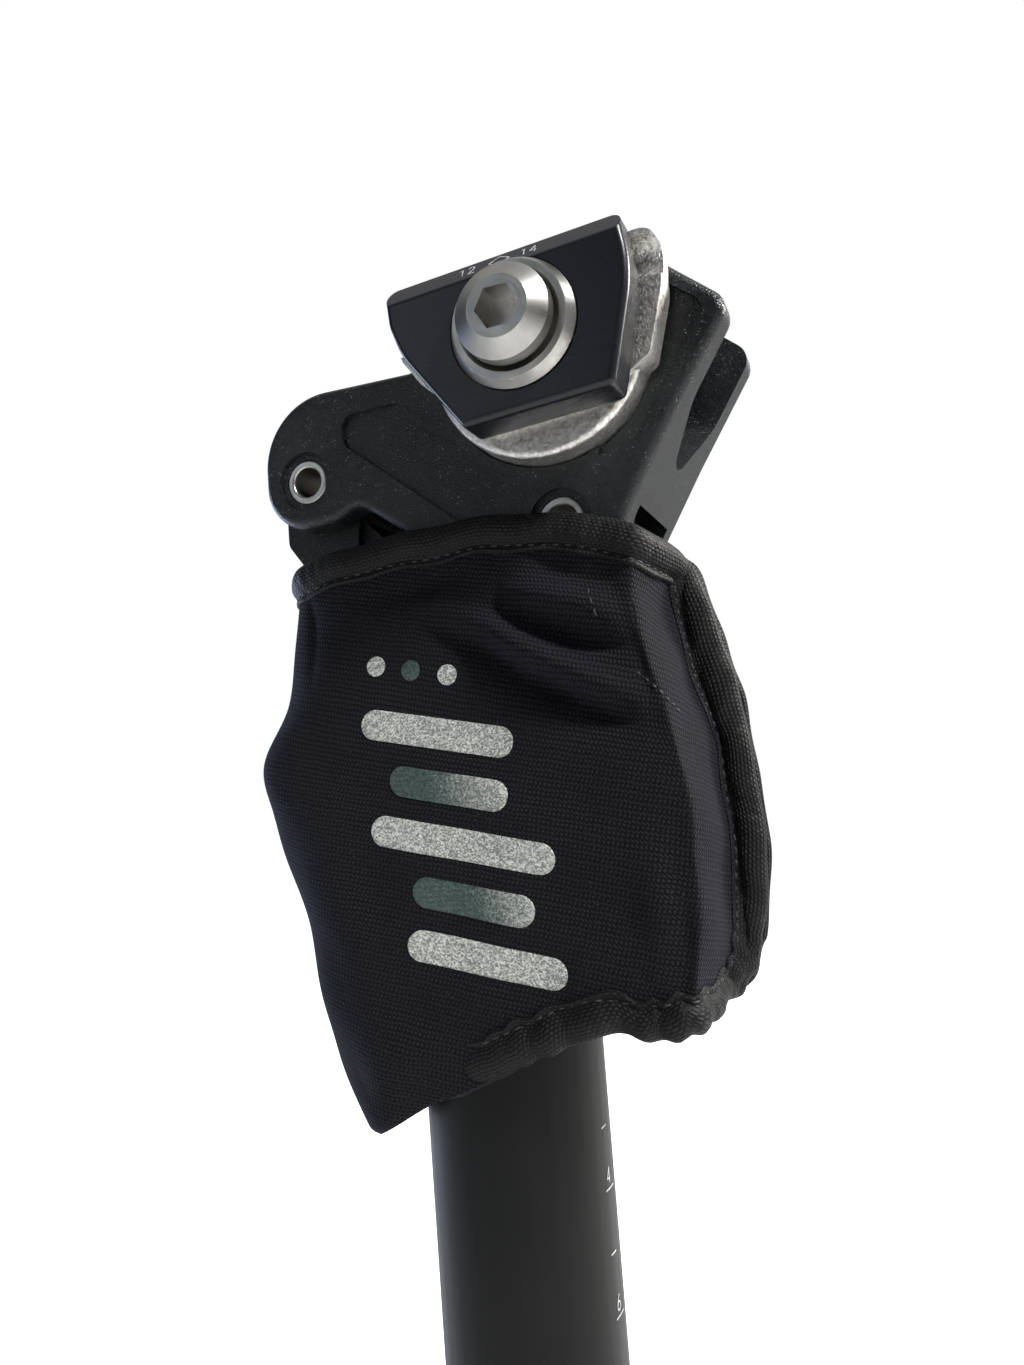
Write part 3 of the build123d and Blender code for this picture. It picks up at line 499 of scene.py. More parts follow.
def stitches(name, line, lift, pitch=STITCH_PITCH, length=1.35, radius=0.17):
    """Threads along a line of (arc, height): each a ring of radius r (1 - (2t - 1)^4)^(1/2) carried along
    an arch lift + r (1.6 sin(pi t) - 0.9), so that it dives into the cloth at its ends."""
    along = lengths(line)
    starts = np.arange(pitch / 2, along[-1] - length, pitch)
    t, turn = np.linspace(0, 1, 7), np.linspace(0, 2 * np.pi, 6, endpoint=False)
    place = starts[:, None] + t[None, :] * length
    centre = read_at(line, along, place)
    arch = lift + radius * (1.6 * np.sin(np.pi * t) - 0.9)
    spine = on_cover(centre[..., 0], centre[..., 1], np.broadcast_to(arch, place.shape))
    heading = unit(np.gradient(spine, axis=1))
    outward = normals_of(plain, centre[..., 0], centre[..., 1])
    side = unit(np.cross(heading, outward))
    out = np.cross(side, heading)
    girth = radius * np.sqrt(np.clip(1 - (2 * t - 1) ** 4, 0.02, 1))[None, :, None, None]
    ring = spine[:, :, None] + girth * (
        side[:, :, None] * np.cos(turn)[:, None] + out[:, :, None] * np.sin(turn)[:, None]
    )
    faces, _ = grid_faces(len(t), len(turn), round_columns=True)
    ends = np.array([[0, 1, 2, 3], [0, 3, 4, 5]])     # a ring's six points as two quads
    caps = np.vstack([ends, (len(t) - 1) * len(turn) + ends[:, ::-1]])
    one = np.vstack([faces[:, ::-1], caps[:, ::-1]])
    count = len(t) * len(turn)
    every = (one[None] + np.arange(len(starts))[:, None, None] * count).reshape(-1, 4)
    return mesh_object(name, to_row(ring), every)


# reflective print on the left side: a stack of slanted bars with three dots over them.
# centre x, centre height, length, width, slant in degrees, silver or green
PRINT_BARS = [
    (2.0, 36.5, 27.0, 5.0, 12.0, "silver"),
    (0.5, 27.5, 21.0, 5.0, 12.0, "green"),
    (-1.0, 18.5, 32.0, 5.0, 12.0, "silver"),
    (-2.5, 9.5, 21.0, 5.0, 12.0, "green"),
    (-4.0, 0.5, 27.0, 5.0, 12.0, "silver"),
]
PRINT_DOTS = [
    (12.5, 48.6, 3.4, 3.4, 0.0, "silver"),
    (6.0, 47.2, 3.4, 3.4, 0.0, "green"),
    (-0.5, 45.8, 3.4, 3.4, 0.0, "silver"),
]
PRINT_LIFT = 0.07
# dark and bright flakes
SILVER_TONE = [(0.20, 0.21, 0.19), (0.72, 0.74, 0.68)]
GREEN_TONE = [(0.030, 0.052, 0.049), (0.080, 0.118, 0.106)]


def bar_grid(length, width, columns=61, rows=9):
    """Grid over a bar with round ends, as (along, across): along runs by a cosine, and across reaches
    sqrt((width / 2)^2 - past^2), where past is the way into the round end."""
    along = -np.cos(np.linspace(0, np.pi, columns)) * length / 2 * 0.9995
    past = np.clip(np.abs(along) - (length - width) / 2, 0, None)
    half = np.sqrt((width / 2) ** 2 - past ** 2)
    return np.meshgrid(along, np.ones(rows))[0], np.linspace(-1, 1, rows)[:, None] * half


def joined(name, patches, thickness):
    """Patches of (points, places) as one mesh of thin separate islands, with the places as UVs in mm."""
    points, faces, uv, count = [], [], [], 0
    for grid, places in patches:
        quads, _ = grid_faces(*grid.shape[:2])
        points.append(grid.reshape(-1, 3))
        faces.append(quads + count)
        uv.append(places.reshape(-1, 2)[quads])
        count += len(points[-1])
    made = mesh_object(name, to_row(np.vstack(points)), np.vstack(faces), np.vstack(uv) * MM)
    film = made.modifiers.new("film", "SOLIDIFY")
    film.thickness, film.offset = thickness * MM, -1.0
    return made


def printed(name, tone):
    """All the bars and dots of one tone: each grid turned by its slant in side view and laid on the
    cloth at on_cover(arc, height, PRINT_LIFT)."""
    patches = []
    for x, height, length, width, slant, kind in PRINT_BARS + PRINT_DOTS:
        if kind != tone:
            continue
        along, across = bar_grid(length, width)
        lean = np.radians(slant)
        level = height - along * np.sin(lean) + across * np.cos(lean)
        around = arc_at(x - along * np.cos(lean) - across * np.sin(lean), level)
        film = on_cover(around, level, np.full(around.shape, PRINT_LIFT))
        patches.append((film, np.stack([around, level], axis=-1)))
    return joined(name, patches, PRINT_LIFT)


# ---- Marks: plain strokes laid on metal

# figures on a grid one high and 0.6 wide
FIGURES = {
    "1": [[(0.12, 0.78), (0.36, 1.0), (0.36, 0.0)]],
    "2": [[(0.04, 0.78), (0.12, 0.94), (0.3, 1.0), (0.48, 0.93), (0.55, 0.76), (0.48, 0.58), (0.03, 0.0),
           (0.58, 0.0)]],
    "4": [[(0.44, 0.0), (0.44, 1.0), (0.02, 0.3), (0.6, 0.3)]],
    "6": [[(0.46, 0.98), (0.2, 0.7), (0.05, 0.42), (0.06, 0.18), (0.2, 0.02), (0.4, 0.02), (0.54, 0.16),
           (0.54, 0.4), (0.4, 0.55), (0.2, 0.54), (0.08, 0.4)]],
    "8": [[(0.3, 0.54), (0.1, 0.66), (0.1, 0.9), (0.3, 1.0), (0.5, 0.9), (0.5, 0.66), (0.3, 0.54),
           (0.06, 0.38), (0.06, 0.12), (0.3, 0.0), (0.54, 0.12), (0.54, 0.38), (0.3, 0.54)]],
    "0": [[(0.3, 0.0), (0.1, 0.12), (0.04, 0.5), (0.1, 0.88), (0.3, 1.0), (0.5, 0.88), (0.56, 0.5),
           (0.5, 0.12), (0.3, 0.0)]],
}
FIGURE_PITCH = 0.85
MARK_THICKNESS, RIBBON_STEP = 0.03, 0.3


def figures(text, size, start):
    """Strokes of a number, scaled and moved to a start, with its figures FIGURE_PITCH apart."""
    return [
        (np.array(stroke) + (FIGURE_PITCH * k, 0)) * size + start
        for k, figure in enumerate(text) for stroke in FIGURES[figure]
    ]


def ribbon(stroke, width):
    """Grid of a stroke's band in its plane: line + side * width * (-1/2, 0, 1/2), cut fine enough to
    bend round the tube."""
    stroke = np.asarray(stroke, float)
    along = lengths(stroke)
    between = np.linspace(0, along[-1], int(along[-1] / RIBBON_STEP) + 2)[1:-1]
    line = read_at(stroke, along, np.sort(np.concatenate([along, between])))
    side = unit(np.gradient(line, axis=0)) @ np.array([[0, 1], [-1, 0]])
    return line[None] + np.linspace(-0.5, 0.5, 3)[:, None, None] * width * side


def marks(name, strokes, width, surface):
    """Strokes laid on a surface given as a function of two lengths."""
    grids = [ribbon(stroke, width) for stroke in strokes]
    return joined(name, [(surface(grid[..., 0], grid[..., 1]), grid) for grid in grids], MARK_THICKNESS)


SCALE_START = np.radians(171.0)
SCALE_LEVELS = range(-30, -125, -10)
SHORT_MARK, LONG_MARK = 2.0, 3.6


def on_tube(across, height):
    """Places on the tube, across to the right of the scale's left end as seen from behind:
    (r cos a, r sin a, height) with a = SCALE_START + across / POST_RADIUS."""
    angle = SCALE_START + across / POST_RADIUS
    radius = POST_RADIUS + 0.05
    return np.stack([radius * np.cos(angle), radius * np.sin(angle), height], axis=-1)


def post_scale():
    """Height marks every 10 mm down the rear of the tube, with a number at every second one."""
    strokes = []
    for k, level in enumerate(SCALE_LEVELS):
        long = k % 2 == 1
        strokes.append([(0, level), (LONG_MARK if long else SHORT_MARK, level)])
        if long:
            strokes += figures(str(3 + k), 2.4, (0.7, level + 0.9))
    return marks("post_scale", strokes, 0.3, on_tube)


# the outer jaw's sloping upper face: a point on it, its outward normal, and the way a reader's eye runs,
# which is the way along the jaw brought into the face
JAW_MIDDLE = np.array([-18.53, 28.11, 106.7])
JAW_NORMAL = unit(np.array([0.048, 0.794, 0.606]))
JAW_ALONG = np.array([-0.997, 0.0, 0.078])
JAW_RIGHT = unit(JAW_ALONG - JAW_NORMAL * (JAW_ALONG @ JAW_NORMAL))
JAW_UP = np.cross(JAW_NORMAL, JAW_RIGHT)


def on_jaw(across, up):
    """Places on the jaw's sloping face: middle + across * right + up * upwards, a hair above it."""
    return JAW_MIDDLE + across[..., None] * JAW_RIGHT + up[..., None] * JAW_UP + 0.04 * JAW_NORMAL


def jaw_scale():
    """Tilt mark on the left jaw: an open diamond between two plain numbers."""
    diamond = [(0.0, 1.3), (1.7, 0.0), (0.0, -1.3), (-1.7, 0.0), (-0.02, 1.285)]
    strokes = [diamond] + figures("12", 1.9, (-6.8, -0.95)) + figures("14", 1.9, (3.4, -0.95))
    return marks("jaw_scale", strokes, 0.26, on_jaw)


# ---- Coil spring

SPRING_BASE = np.array([3.5, 0.0, 4.5])
SPRING_AXIS = unit(np.array([0.097, 0.0, 0.9953]))
SPRING_LENGTH = 57.0
SPRING_RADIUS = 7.6
WIRE_RADIUS = 1.6
SPRING_TURNS = 7.0
DEAD_TURNS = 0.9                # closed turns at each end
SPRING_GAP = 0.15               # left between the spring and its seat at each end
DOME_SHARE = 0.01               # share of half the wire's length that its rounded end takes


def coil_spring():
    """Wire carried along a helix, base + R (cos a, sin a) + axis * rise(a), whose rise is slow over the
    closed end turns. The wire's girth is r sqrt(1 - e^2) over its domed ends."""
    t = np.linspace(0, 1, 420)
    turn = t * SPRING_TURNS
    closed = WIRE_RADIUS * 2.05
    free = SPRING_LENGTH - 2 * WIRE_RADIUS - 2 * SPRING_GAP - 2 * DEAD_TURNS * closed
    rise = np.interp(
        turn, [0, DEAD_TURNS, SPRING_TURNS - DEAD_TURNS, SPRING_TURNS],
        [0, DEAD_TURNS * closed, DEAD_TURNS * closed + free, 2 * DEAD_TURNS * closed + free],
    )
    for _ in range(12):
        rise[1:-1] = (rise[:-2] + 2 * rise[1:-1] + rise[2:]) / 4
    side = np.array([0.0, 1.0, 0.0])
    fore = np.cross(side, SPRING_AXIS)
    angle = 2 * np.pi * turn[:, None]
    outward = np.cos(angle) * fore + np.sin(angle) * side
    line = SPRING_BASE + outward * SPRING_RADIUS + SPRING_AXIS * (rise + WIRE_RADIUS + SPRING_GAP)[:, None]
    heading = unit(np.gradient(line, axis=0))
    up = unit(np.cross(heading, outward))
    past = np.clip(np.abs(2 * t - 1) - 1 + DOME_SHARE, 0, 1) / (1.01 * DOME_SHARE)
    girth = WIRE_RADIUS * np.sqrt(np.clip(1 - past ** 2, 1e-4, 1))
    wind = np.linspace(0, 2 * np.pi, 14, endpoint=False)
    points = line[:, None] + girth[:, None, None] * (
        outward[:, None] * np.cos(wind)[:, None] + up[:, None] * np.sin(wind)[:, None]
    )
    return rod_object("spring_coil", points)


# side view of the strip between the rear flaps: height, front x, rear x
STRIP = [(4.0, -39.8, -43.4), (24.0, -40.6, -44.0), (50.0, -37.0, -42.0), (51.5, -36.6, -40.5)]
STRIP_HALF = 1.1


def closure_strip():
    """Hook-and-loop strip between the two rear flaps: a superellipse section, |cos|^0.4 by |sin|^0.4,
    carried up the flaps between a front and a rear line."""
    height = np.linspace(STRIP[0][0], STRIP[-1][0], 60)[:, None]
    front, rear = (np.interp(height, *np.array(STRIP).T[[0, k]]) for k in (1, 2))
    turn = np.linspace(0, 2 * np.pi, 28, endpoint=False)
    along, across = (np.sign(f) * np.abs(f) ** 0.4 for f in (np.cos(turn), np.sin(turn)))
    x = (front + rear) / 2 + (front - rear) / 2 * along
    return rod_object("closure_strip", np.stack([x, STRIP_HALF * across + 0 * x, height + 0 * x], axis=-1))


# ---- Node finishes

class Finish:
    """A material put together node by node on its Principled shader."""

    def __init__(self, name):
        self.material = bpy.data.materials.new(name)
        self.material.use_nodes = True
        self.tree = self.material.node_tree
        self.shader = self.tree.nodes["Principled BSDF"]
        self.places = self.tree.nodes.new("ShaderNodeTexCoord").outputs

    def node(self, kind, inputs=(), **settings):
        made = self.tree.nodes.new("ShaderNode" + kind)
        for setting, value in settings.items():
            setattr(made, setting, value)
        for socket, value in dict(inputs).items():
            self.put(made.inputs[socket], value)
        return made

    def put(self, socket, value):
        if isinstance(value, bpy.types.NodeSocket):
            self.tree.links.new(value, socket)
        else:
            socket.default_value = value

    def set(self, **sockets):
        for name, value in sockets.items():
            self.put(self.shader.inputs[name.replace("_", " ")], value)
        return self

    def math(self, operation, a, b=0.0):
        return self.node("Math", {0: a, 1: b}, operation=operation).outputs[0]

    def noise(self, scale, vector=None, detail=2.0, roughness=0.5):
        made = self.node(
            "TexNoise", {"Vector": vector or self.places["Object"], "Scale": scale, "Detail": detail,
                         "Roughness": roughness})
        return made.outputs["Fac"]

    def grains(self, scale, vector=None, read="Distance"):
        """Cells of a scale: how far a place is from its cell's middle, or with read="Color" a random
        colour for each cell."""
        made = self.node("TexVoronoi", {"Vector": vector or self.places["Object"], "Scale": scale})
        return made.outputs[read]

    def stretched(self, scale, location=(0, 0, 0)):
        return self.node(
            "Mapping", {"Vector": self.places["Object"], "Scale": scale, "Location": location}
        ).outputs[0]

    def centred(self, value):
        """How far a value is into its own unit step, from -1/2 to 1/2."""
        return self.math("SUBTRACT", self.math("FRACT", value), 0.5)

    def dome(self, along, across, length, width):
        """Oval dome sqrt(1 - (along / length)^2 - (across / width)^2), 0 outside it."""
        spread = self.math("ADD", self.math("POWER", self.math("DIVIDE", along, length), 2.0),
                           self.math("POWER", self.math("DIVIDE", across, width), 2.0))
        return self.math("SQRT", self.math("MAXIMUM", self.math("SUBTRACT", 1.0, spread), 0.0))

    def ramp(self, value, stops):
        """Colours or greys by value: stops are (place, grey or colour)."""
        made = self.node("ValToRGB", {"Fac": value})
        elements = made.color_ramp.elements
        while len(elements) < len(stops):
            elements.new(0.5)
        for element, (place, colour) in zip(elements, stops):
            element.position = place
            element.color = (colour,) * 3 + (1,) if isinstance(colour, (int, float)) else (*colour, 1)
        return made.outputs["Color"]

    def level(self, value, low, high, to_low=0.0, to_high=1.0):
        """A value's place between low and high, read from to_low to to_high and held past both."""
        return self.node("MapRange", {
            "Value": value, "From Min": low, "From Max": high, "To Min": to_low, "To Max": to_high,
        }).outputs[0]

    def blend(self, share, first, second):
        made = self.node("Mix", data_type="RGBA")
        self.put(made.inputs["Factor"], share)
        self.put(made.inputs[6], first if isinstance(first, bpy.types.NodeSocket) else (*first, 1))
        self.put(made.inputs[7], second if isinstance(second, bpy.types.NodeSocket) else (*second, 1))
        return made.outputs[2]

    def bumps(self, *layers):
        """Bump nodes in a row: (height, strength, distance in mm) each."""
        normal = None
        for height, strength, distance in layers:
            made = self.node("Bump", {"Height": height, "Strength": strength, "Distance": distance * MM})
            if normal is not None:
                self.put(made.inputs["Normal"], normal)
            normal = made.outputs["Normal"]
        self.put(self.shader.inputs["Normal"], normal)
        return self


def blasted_black(name, base=(0.0075, 0.009, 0.0098), roughness=0.36, sparkle=0.9):
    """Bead-blasted black anodising: fine pits that glint through their bumps, painted glints as rare bright
    specks in the base colour, and a slow change of gloss.
    """
    f = Finish(name)
    pits = f.grains(3200.0)
    patches = f.noise(60.0, detail=3.0)
    # painted glints: rare bright specks in the base colour stand in for light caught by the blasted pits
    specks = f.level(f.grains(1900.0), 0.10, 0.20, 1.0, 0.0)
    painted_glints = f.math("MULTIPLY", specks, f.level(f.noise(520.0), 0.50, 0.58))
    skin = f.noise(1500.0, detail=3.0)
    mottle = f.math("ADD", f.math("MULTIPLY", patches, 0.5), f.math("MULTIPLY", skin, 0.5))
    body = f.ramp(mottle, [(0.38, tuple(0.45 * c for c in base)), (0.62, tuple(1.8 * c for c in base))])
    # the base colour takes the pale painted glint colour at the specks
    f.set(Base_Color=f.blend(painted_glints, body, (0.22, 0.23, 0.225)),
          Specular_IOR_Level=0.42, Roughness=f.level(patches, 0.3, 0.7, roughness - 0.06, roughness + 0.06))
    return f.bumps((pits, sparkle, 0.09), (f.noise(900.0, detail=2.0), 0.3, 0.08)).material


def tube_black():
    """Satin black anodised tube with faint drawing lines along it."""
    f = Finish("satin_tube")
    lines = f.noise(700.0, f.stretched((1, 1, 0.02)), detail=2.0)
    patches = f.noise(30.0)
    f.set(Base_Color=f.ramp(patches, [(0.3, (0.0030, 0.0036, 0.0036)), (0.7, (0.0055, 0.0058, 0.0054))]),
          Specular_IOR_Level=0.17, Roughness=f.level(lines, 0.3, 0.7, 0.34, 0.44))
    return f.bumps((lines, 0.12, 0.03), (f.grains(4000.0), 0.12, 0.02)).material


def smooth_black():
    """Smooth black anodised jaw, with faint polishing lines and a few dust specks."""
    f = Finish("smooth_anodised")
    lines = f.noise(500.0, f.stretched((0.05, 1, 1)), detail=3.0)
    dust = f.level(f.grains(420.0), 0.03, 0.06, 1.0, 0.0)
    rare = f.math("MULTIPLY", dust, f.level(f.noise(90.0), 0.62, 0.66))
    f.set(Base_Color=f.blend(rare, (0.008, 0.0085, 0.011), (0.12, 0.12, 0.12)),
          Specular_IOR_Level=0.4, Roughness=f.level(lines, 0.3, 0.7, 0.26, 0.31))
    return f.bumps((lines, 0.03, 0.02), (f.noise(2400.0), 0.10, 0.02)).material


def cast_silver():
    """Tumbled aluminium casting: rough glinting skin with worn high spots."""
    f = Finish("silver_casting")
    skin = f.noise(1300.0, detail=3.0, roughness=0.55)
    lumps = f.noise(180.0, detail=2.0)
    facets = f.node("SeparateXYZ", {0: f.grains(2200.0, read="Color")})
    shade = f.math("ADD", f.math("MULTIPLY", lumps, 0.6), f.math("MULTIPLY", facets.outputs["X"], 0.4))
    f.set(Base_Color=f.ramp(shade, [(0.3, (0.56, 0.54, 0.50)), (0.7, (0.84, 0.82, 0.78))]),
          Metallic=1.0, Roughness=f.level(skin, 0.35, 0.65, 0.34, 0.50))
    return f.bumps((facets.outputs["Y"], 0.9, 0.08), (skin, 0.8, 0.16), (lumps, 0.5, 0.4)).material


def turned_steel(name, centre, base=(0.50, 0.49, 0.46), roughness=0.26, rate=7000.0):
    """Stainless steel turned about a cross axis: fine rings sin(rate (radius + y)) round the centre, given
    in row metres."""
    f = Finish(name)
    local = f.stretched((1, 1, 1), location=(-centre[0], 0, -centre[2]))
    apart = f.node("SeparateXYZ", {0: local})
    squares = [f.math("POWER", apart.outputs[axis], 2.0) for axis in "XZ"]
    radius = f.math("SQRT", f.math("ADD", *squares))
    rings = f.math("SINE", f.math("MULTIPLY", f.math("ADD", radius, apart.outputs["Y"]), rate))
    stain = f.noise(220.0, detail=3.0)
    f.set(Base_Color=f.ramp(stain, [(0.35, base), (0.7, tuple(0.72 * c for c in base))]), Metallic=1.0,
          Roughness=f.level(stain, 0.3, 0.7, roughness, roughness + 0.12))
    return f.bumps((rings, 0.25, 0.01), (f.noise(1600.0), 0.15, 0.03)).material


def dull(name, base, roughness=0.6):
    """Plain plastic or rubber, or coated wire, with a fine grain."""
    f = Finish(name)
    grains = f.noise(1200.0, detail=2.0)
    f.set(Base_Color=f.ramp(grains, [(0.3, base), (0.7, tuple(1.3 * c for c in base))]),
          Roughness=f.level(grains, 0.3, 0.7, roughness - 0.06, roughness + 0.06))
    return f.bumps((grains, 0.3, 0.05)).material


# size of one loop of the knit across and up, in metres, and how much its rows fall to the rear
KNIT_COLUMN, KNIT_ROW, KNIT_SLANT = 0.00068, 0.00078, 0.22
# size of one float of the tape's weave along and across it, in metres
FLOAT_LENGTH, FLOAT_WIDTH = 0.00085, 0.00060
# arc in metres over which a print of two tones turns from the one to the other
TONE_CHANGE = (0.053, 0.064)


def knit():
    """Knit: rows of domed loops that lean left and right in turn, with lint and a blue-black sheen. The
    colour is painted lighter on the loops' tops and darker between them, as painted highlight and shade.
    """
    f = Finish("rib_knit")
    apart = f.node("SeparateXYZ", {0: f.places["UV"]})
    wobble = f.noise(260.0, f.places["UV"], detail=2.0)
    across = f.math("DIVIDE", apart.outputs["X"], KNIT_COLUMN)
    level = f.math("ADD", apart.outputs["Y"], f.math("MULTIPLY", apart.outputs["X"], KNIT_SLANT))
    rows = f.math("ADD", f.math("DIVIDE", level, KNIT_ROW), f.math("MULTIPLY", wobble, 0.8))
    row = f.math("FLOOR", rows)
    in_row = f.centred(rows)
    odd = f.math("MODULO", f.math("ABSOLUTE", row), 2.0)
    lean = f.math("MULTIPLY", f.math("SUBTRACT", f.math("MULTIPLY", odd, 2.0), 1.0), 0.55)
    columns = f.math("ADD", across, f.math("MULTIPLY", lean, in_row))
    in_loop = f.centred(f.math("ADD", columns, f.math("MULTIPLY", row, 0.5)))
    loop = f.dome(in_loop, in_row, 0.46, 0.5)
    fuzz = f.noise(5200.0, f.places["UV"], detail=2.0)
    shade = f.math("MULTIPLY", loop, f.level(fuzz, 0.3, 0.7, 0.3, 1.0))
    lint = f.math("MULTIPLY", f.level(f.grains(900.0, f.places["UV"]), 0.05, 0.12, 1.0, 0.0),
                  f.level(f.noise(150.0, f.places["UV"]), 0.60, 0.66))
    # painted highlight and shade: near black between the loops, lighter on their domed tops
    yarn_and_painted_shade = f.ramp(shade, [(0.1, (0.0006, 0.0006, 0.0010)), (0.9, (0.021, 0.0185, 0.0215))])
    f.set(Base_Color=f.blend(lint, yarn_and_painted_shade, (0.09, 0.09, 0.095)),
          Roughness=0.85, Specular_IOR_Level=0.15, Sheen_Weight=0.03, Sheen_Roughness=0.6,
          Sheen_Tint=(0.5, 0.6, 1.0, 1))
    return f.bumps((loop, 1.0, 0.30), (fuzz, 0.4, 0.05)).material


def woven_tape():
    """Woven edge tape: short raised floats in staggered rows, painted lighter on their tops and darker
    between them as painted highlight and shade.
    """
    f = Finish("woven_tape")
    apart = f.node("SeparateXYZ", {0: f.places["UV"]})
    along = f.math("DIVIDE", apart.outputs["X"], FLOAT_LENGTH)
    across = f.math("DIVIDE", apart.outputs["Y"], FLOAT_WIDTH)
    in_float = f.centred(f.math("ADD", along, f.math("MULTIPLY", f.math("FLOOR", across), 0.5)))
    yarn_and_painted_shade = f.dome(in_float, f.centred(across), 0.44, 0.40)
    # painted highlight and shade: the base colour is darker between the floats and lighter on their raised
    # tops
    f.set(Base_Color=f.ramp(yarn_and_painted_shade, [(0.1, (0.0015, 0.0015, 0.0018)), (0.9, (0.012, 0.0125, 0.013))]),
          Roughness=0.55, Specular_IOR_Level=0.22)
    return f.bumps((yarn_and_painted_shade, 0.9, 0.2)).material


def glitter(name, near, far):
    """Reflective print that sits in the knit: tiny flakes, some bright, turning from one tone near the
    nose to another behind. A tone is a dark and a bright colour."""
    f = Finish(name)
    apart = f.node("SeparateXYZ", {0: f.grains(4200.0, f.places["UV"], read="Color")})
    place = f.node("SeparateXYZ", {0: f.places["UV"]})
    ribs = f.math("SINE", f.math("MULTIPLY", place.outputs["Y"], 2 * np.pi / KNIT_ROW))
    scattered = f.math("ADD", place.outputs["X"], f.math("MULTIPLY", apart.outputs["Y"], 0.004))
    turning = f.level(scattered, *TONE_CHANGE)
    dark, bright = (f.ramp(turning, [(0.0, a), (1.0, b)]) for a, b in zip(near, far))
    f.set(Base_Color=f.blend(f.level(apart.outputs["X"], 0.2, 0.95), dark, bright), Metallic=0.25,
          Roughness=f.level(apart.outputs["Y"], 0, 1, 0.3, 0.6))
    return f.bumps((apart.outputs["Z"], 0.4, 0.05), (ribs, 0.4, 0.08)).material


def thread():
    """Black thread with a fine twist."""
    f = Finish("black_thread")
    twist = f.noise(3000.0)
    f.set(Base_Color=f.ramp(twist, [(0.3, (0.012, 0.012, 0.013)), (0.7, (0.04, 0.04, 0.042))]), Roughness=0.5)
    return f.bumps((twist, 0.4, 0.04)).material


def hook_and_loop():
    """Short black pile."""
    f = Finish("hook_and_loop")
    pile = f.grains(2600.0)
    f.set(Base_Color=f.ramp(pile, [(0.1, (0.03, 0.03, 0.032)), (0.6, (0.006, 0.006, 0.006))]), Roughness=0.8)
    return f.bumps((pile, 0.9, 0.2)).material


def mark_ink():
    """Pale grey laser mark, slightly broken."""
    f = Finish("mark_ink")
    specks = f.noise(2500.0)
    f.set(Base_Color=f.ramp(specks, [(0.35, (0.30, 0.31, 0.31)), (0.6, (0.46, 0.47, 0.47))]), Roughness=0.6)
    return f.bumps((specks, 0.2, 0.02)).material


# ---- Put together

# short seams of the patches beside the rear flaps, in side view
PATCH_SEAMS = [
    [(-24.9, 57.6), (-26.0, 54.8), (-27.2, 50.0)],
    [(-31.0, 43.6), (-35.0, 39.9), (-37.4, 35.9)],
]

nodes = frame["nodes"]
joint_place = {joint["name"]: joint.get("pos_m") for joint in frame["joints"]}


def paint(material, *names):
    """Gives CAD nodes their finish."""
    for name in names:
        for place in nodes[name].material_slots:
            place.material = material


forged = blasted_black("forged_black")
bolt_steel = turned_steel("turned_stainless", joint_place["saddle_tilt"])
plastic = dull("black_plastic", (0.012, 0.012, 0.012))
paint(forged, "upper_body", "lower_body", "front_link", "rear_link")
paint(tube_black(), "seat_tube")
paint(smooth_black(), "outer_jaw_left", "outer_jaw_right")
paint(cast_silver(), "inner_jaw_left", "inner_jaw_right")
paint(bolt_steel, "clamp_bolt", "clamp_nut", "bolt_washer", "nut_washer", "cradle_sleeve")
for name in ("front_upper_axle", "front_lower_axle", "rear_upper_axle", "rear_lower_axle", "preload_screw"):
    low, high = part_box(name)
    paint(turned_steel(name + "_steel", [(a + b) / 2 for a, b in zip(low, high)]), name)
paint(plastic, "lower_spring_seat", "upper_spring_cap", "front_upper_bushes", "front_lower_bushes",
      "rear_upper_bushes", "rear_lower_bushes")
paint(dull("bumper_rubber", (0.008, 0.008, 0.008), 0.75), "top_out_bumper")


def goes_with_cover(piece, material, slot, *replaced):
    """A soft piece of the cover, which on the real post bends between the post and the hem, which moves with
    the head. Here it takes its material, has its place baked into its mesh, and the CAD parts it replaces are
    hidden.
    """
    piece.data.materials.append(material)
    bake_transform(piece)
    if replaced:
        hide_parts(*replaced)


cloth, cloth_around, cloth_height = knit_cover()
tape = edge_tape()
goes_with_cover(cloth, knit(), "knit", "cover")
strip = closure_strip()
goes_with_cover(strip, hook_and_loop(), "hook_loop", "cover_closure_strip")
goes_with_cover(tape, woven_tape(), "woven_tape", "cover_top_hem", "cover_edge_binding")
seam = LOOP + INWARD * STITCH_LINE
seam = seam[tucked(*seam.T, 50.0, 14.0) < 0.3]
edge_stitches = stitches("edge_stitches", seam, 0.2)
goes_with_cover(edge_stitches, thread(), "woven_tape")
silver = printed("print_silver", "silver")
green = printed("print_green", "green")
goes_with_cover(silver, glitter("silver_print", SILVER_TONE, SILVER_TONE), "knit")
goes_with_cover(green, glitter("green_print", GREEN_TONE, SILVER_TONE), "knit")

patches = []
for k, corners in enumerate(PATCH_SEAMS):
    x, height = rounded([(*corner, 2.0) for corner in corners]).T
    patches.append(stitches(f"patch_stitches_{k + 1}", np.stack([arc_at(x, height), height], axis=1), 0.0))
    goes_with_cover(patches[-1], thread(), "woven_tape")

# the cloth's flat cut, from the same lengths round and up it, with the cloth that its folds take up
cut_area(cloth_around, cloth_height)

ink = mark_ink()
for mark, body, slot in ((post_scale(), "post", "anodised_black"), (jaw_scale(), "clamp_left", "jaw_black")):
    mark.data.materials.append(ink)
    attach(mark, body)

spring = coil_spring()
spring.data.materials.append(dull("coated_wire", (0.012, 0.012, 0.013), 0.35))
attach(spring, "rear_link")
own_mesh(spring)
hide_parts("coil_spring")

# ---- Stage, light and camera

FLOOR_RADII, FLOOR_DROP = (1.0, 12000.0), 0.5


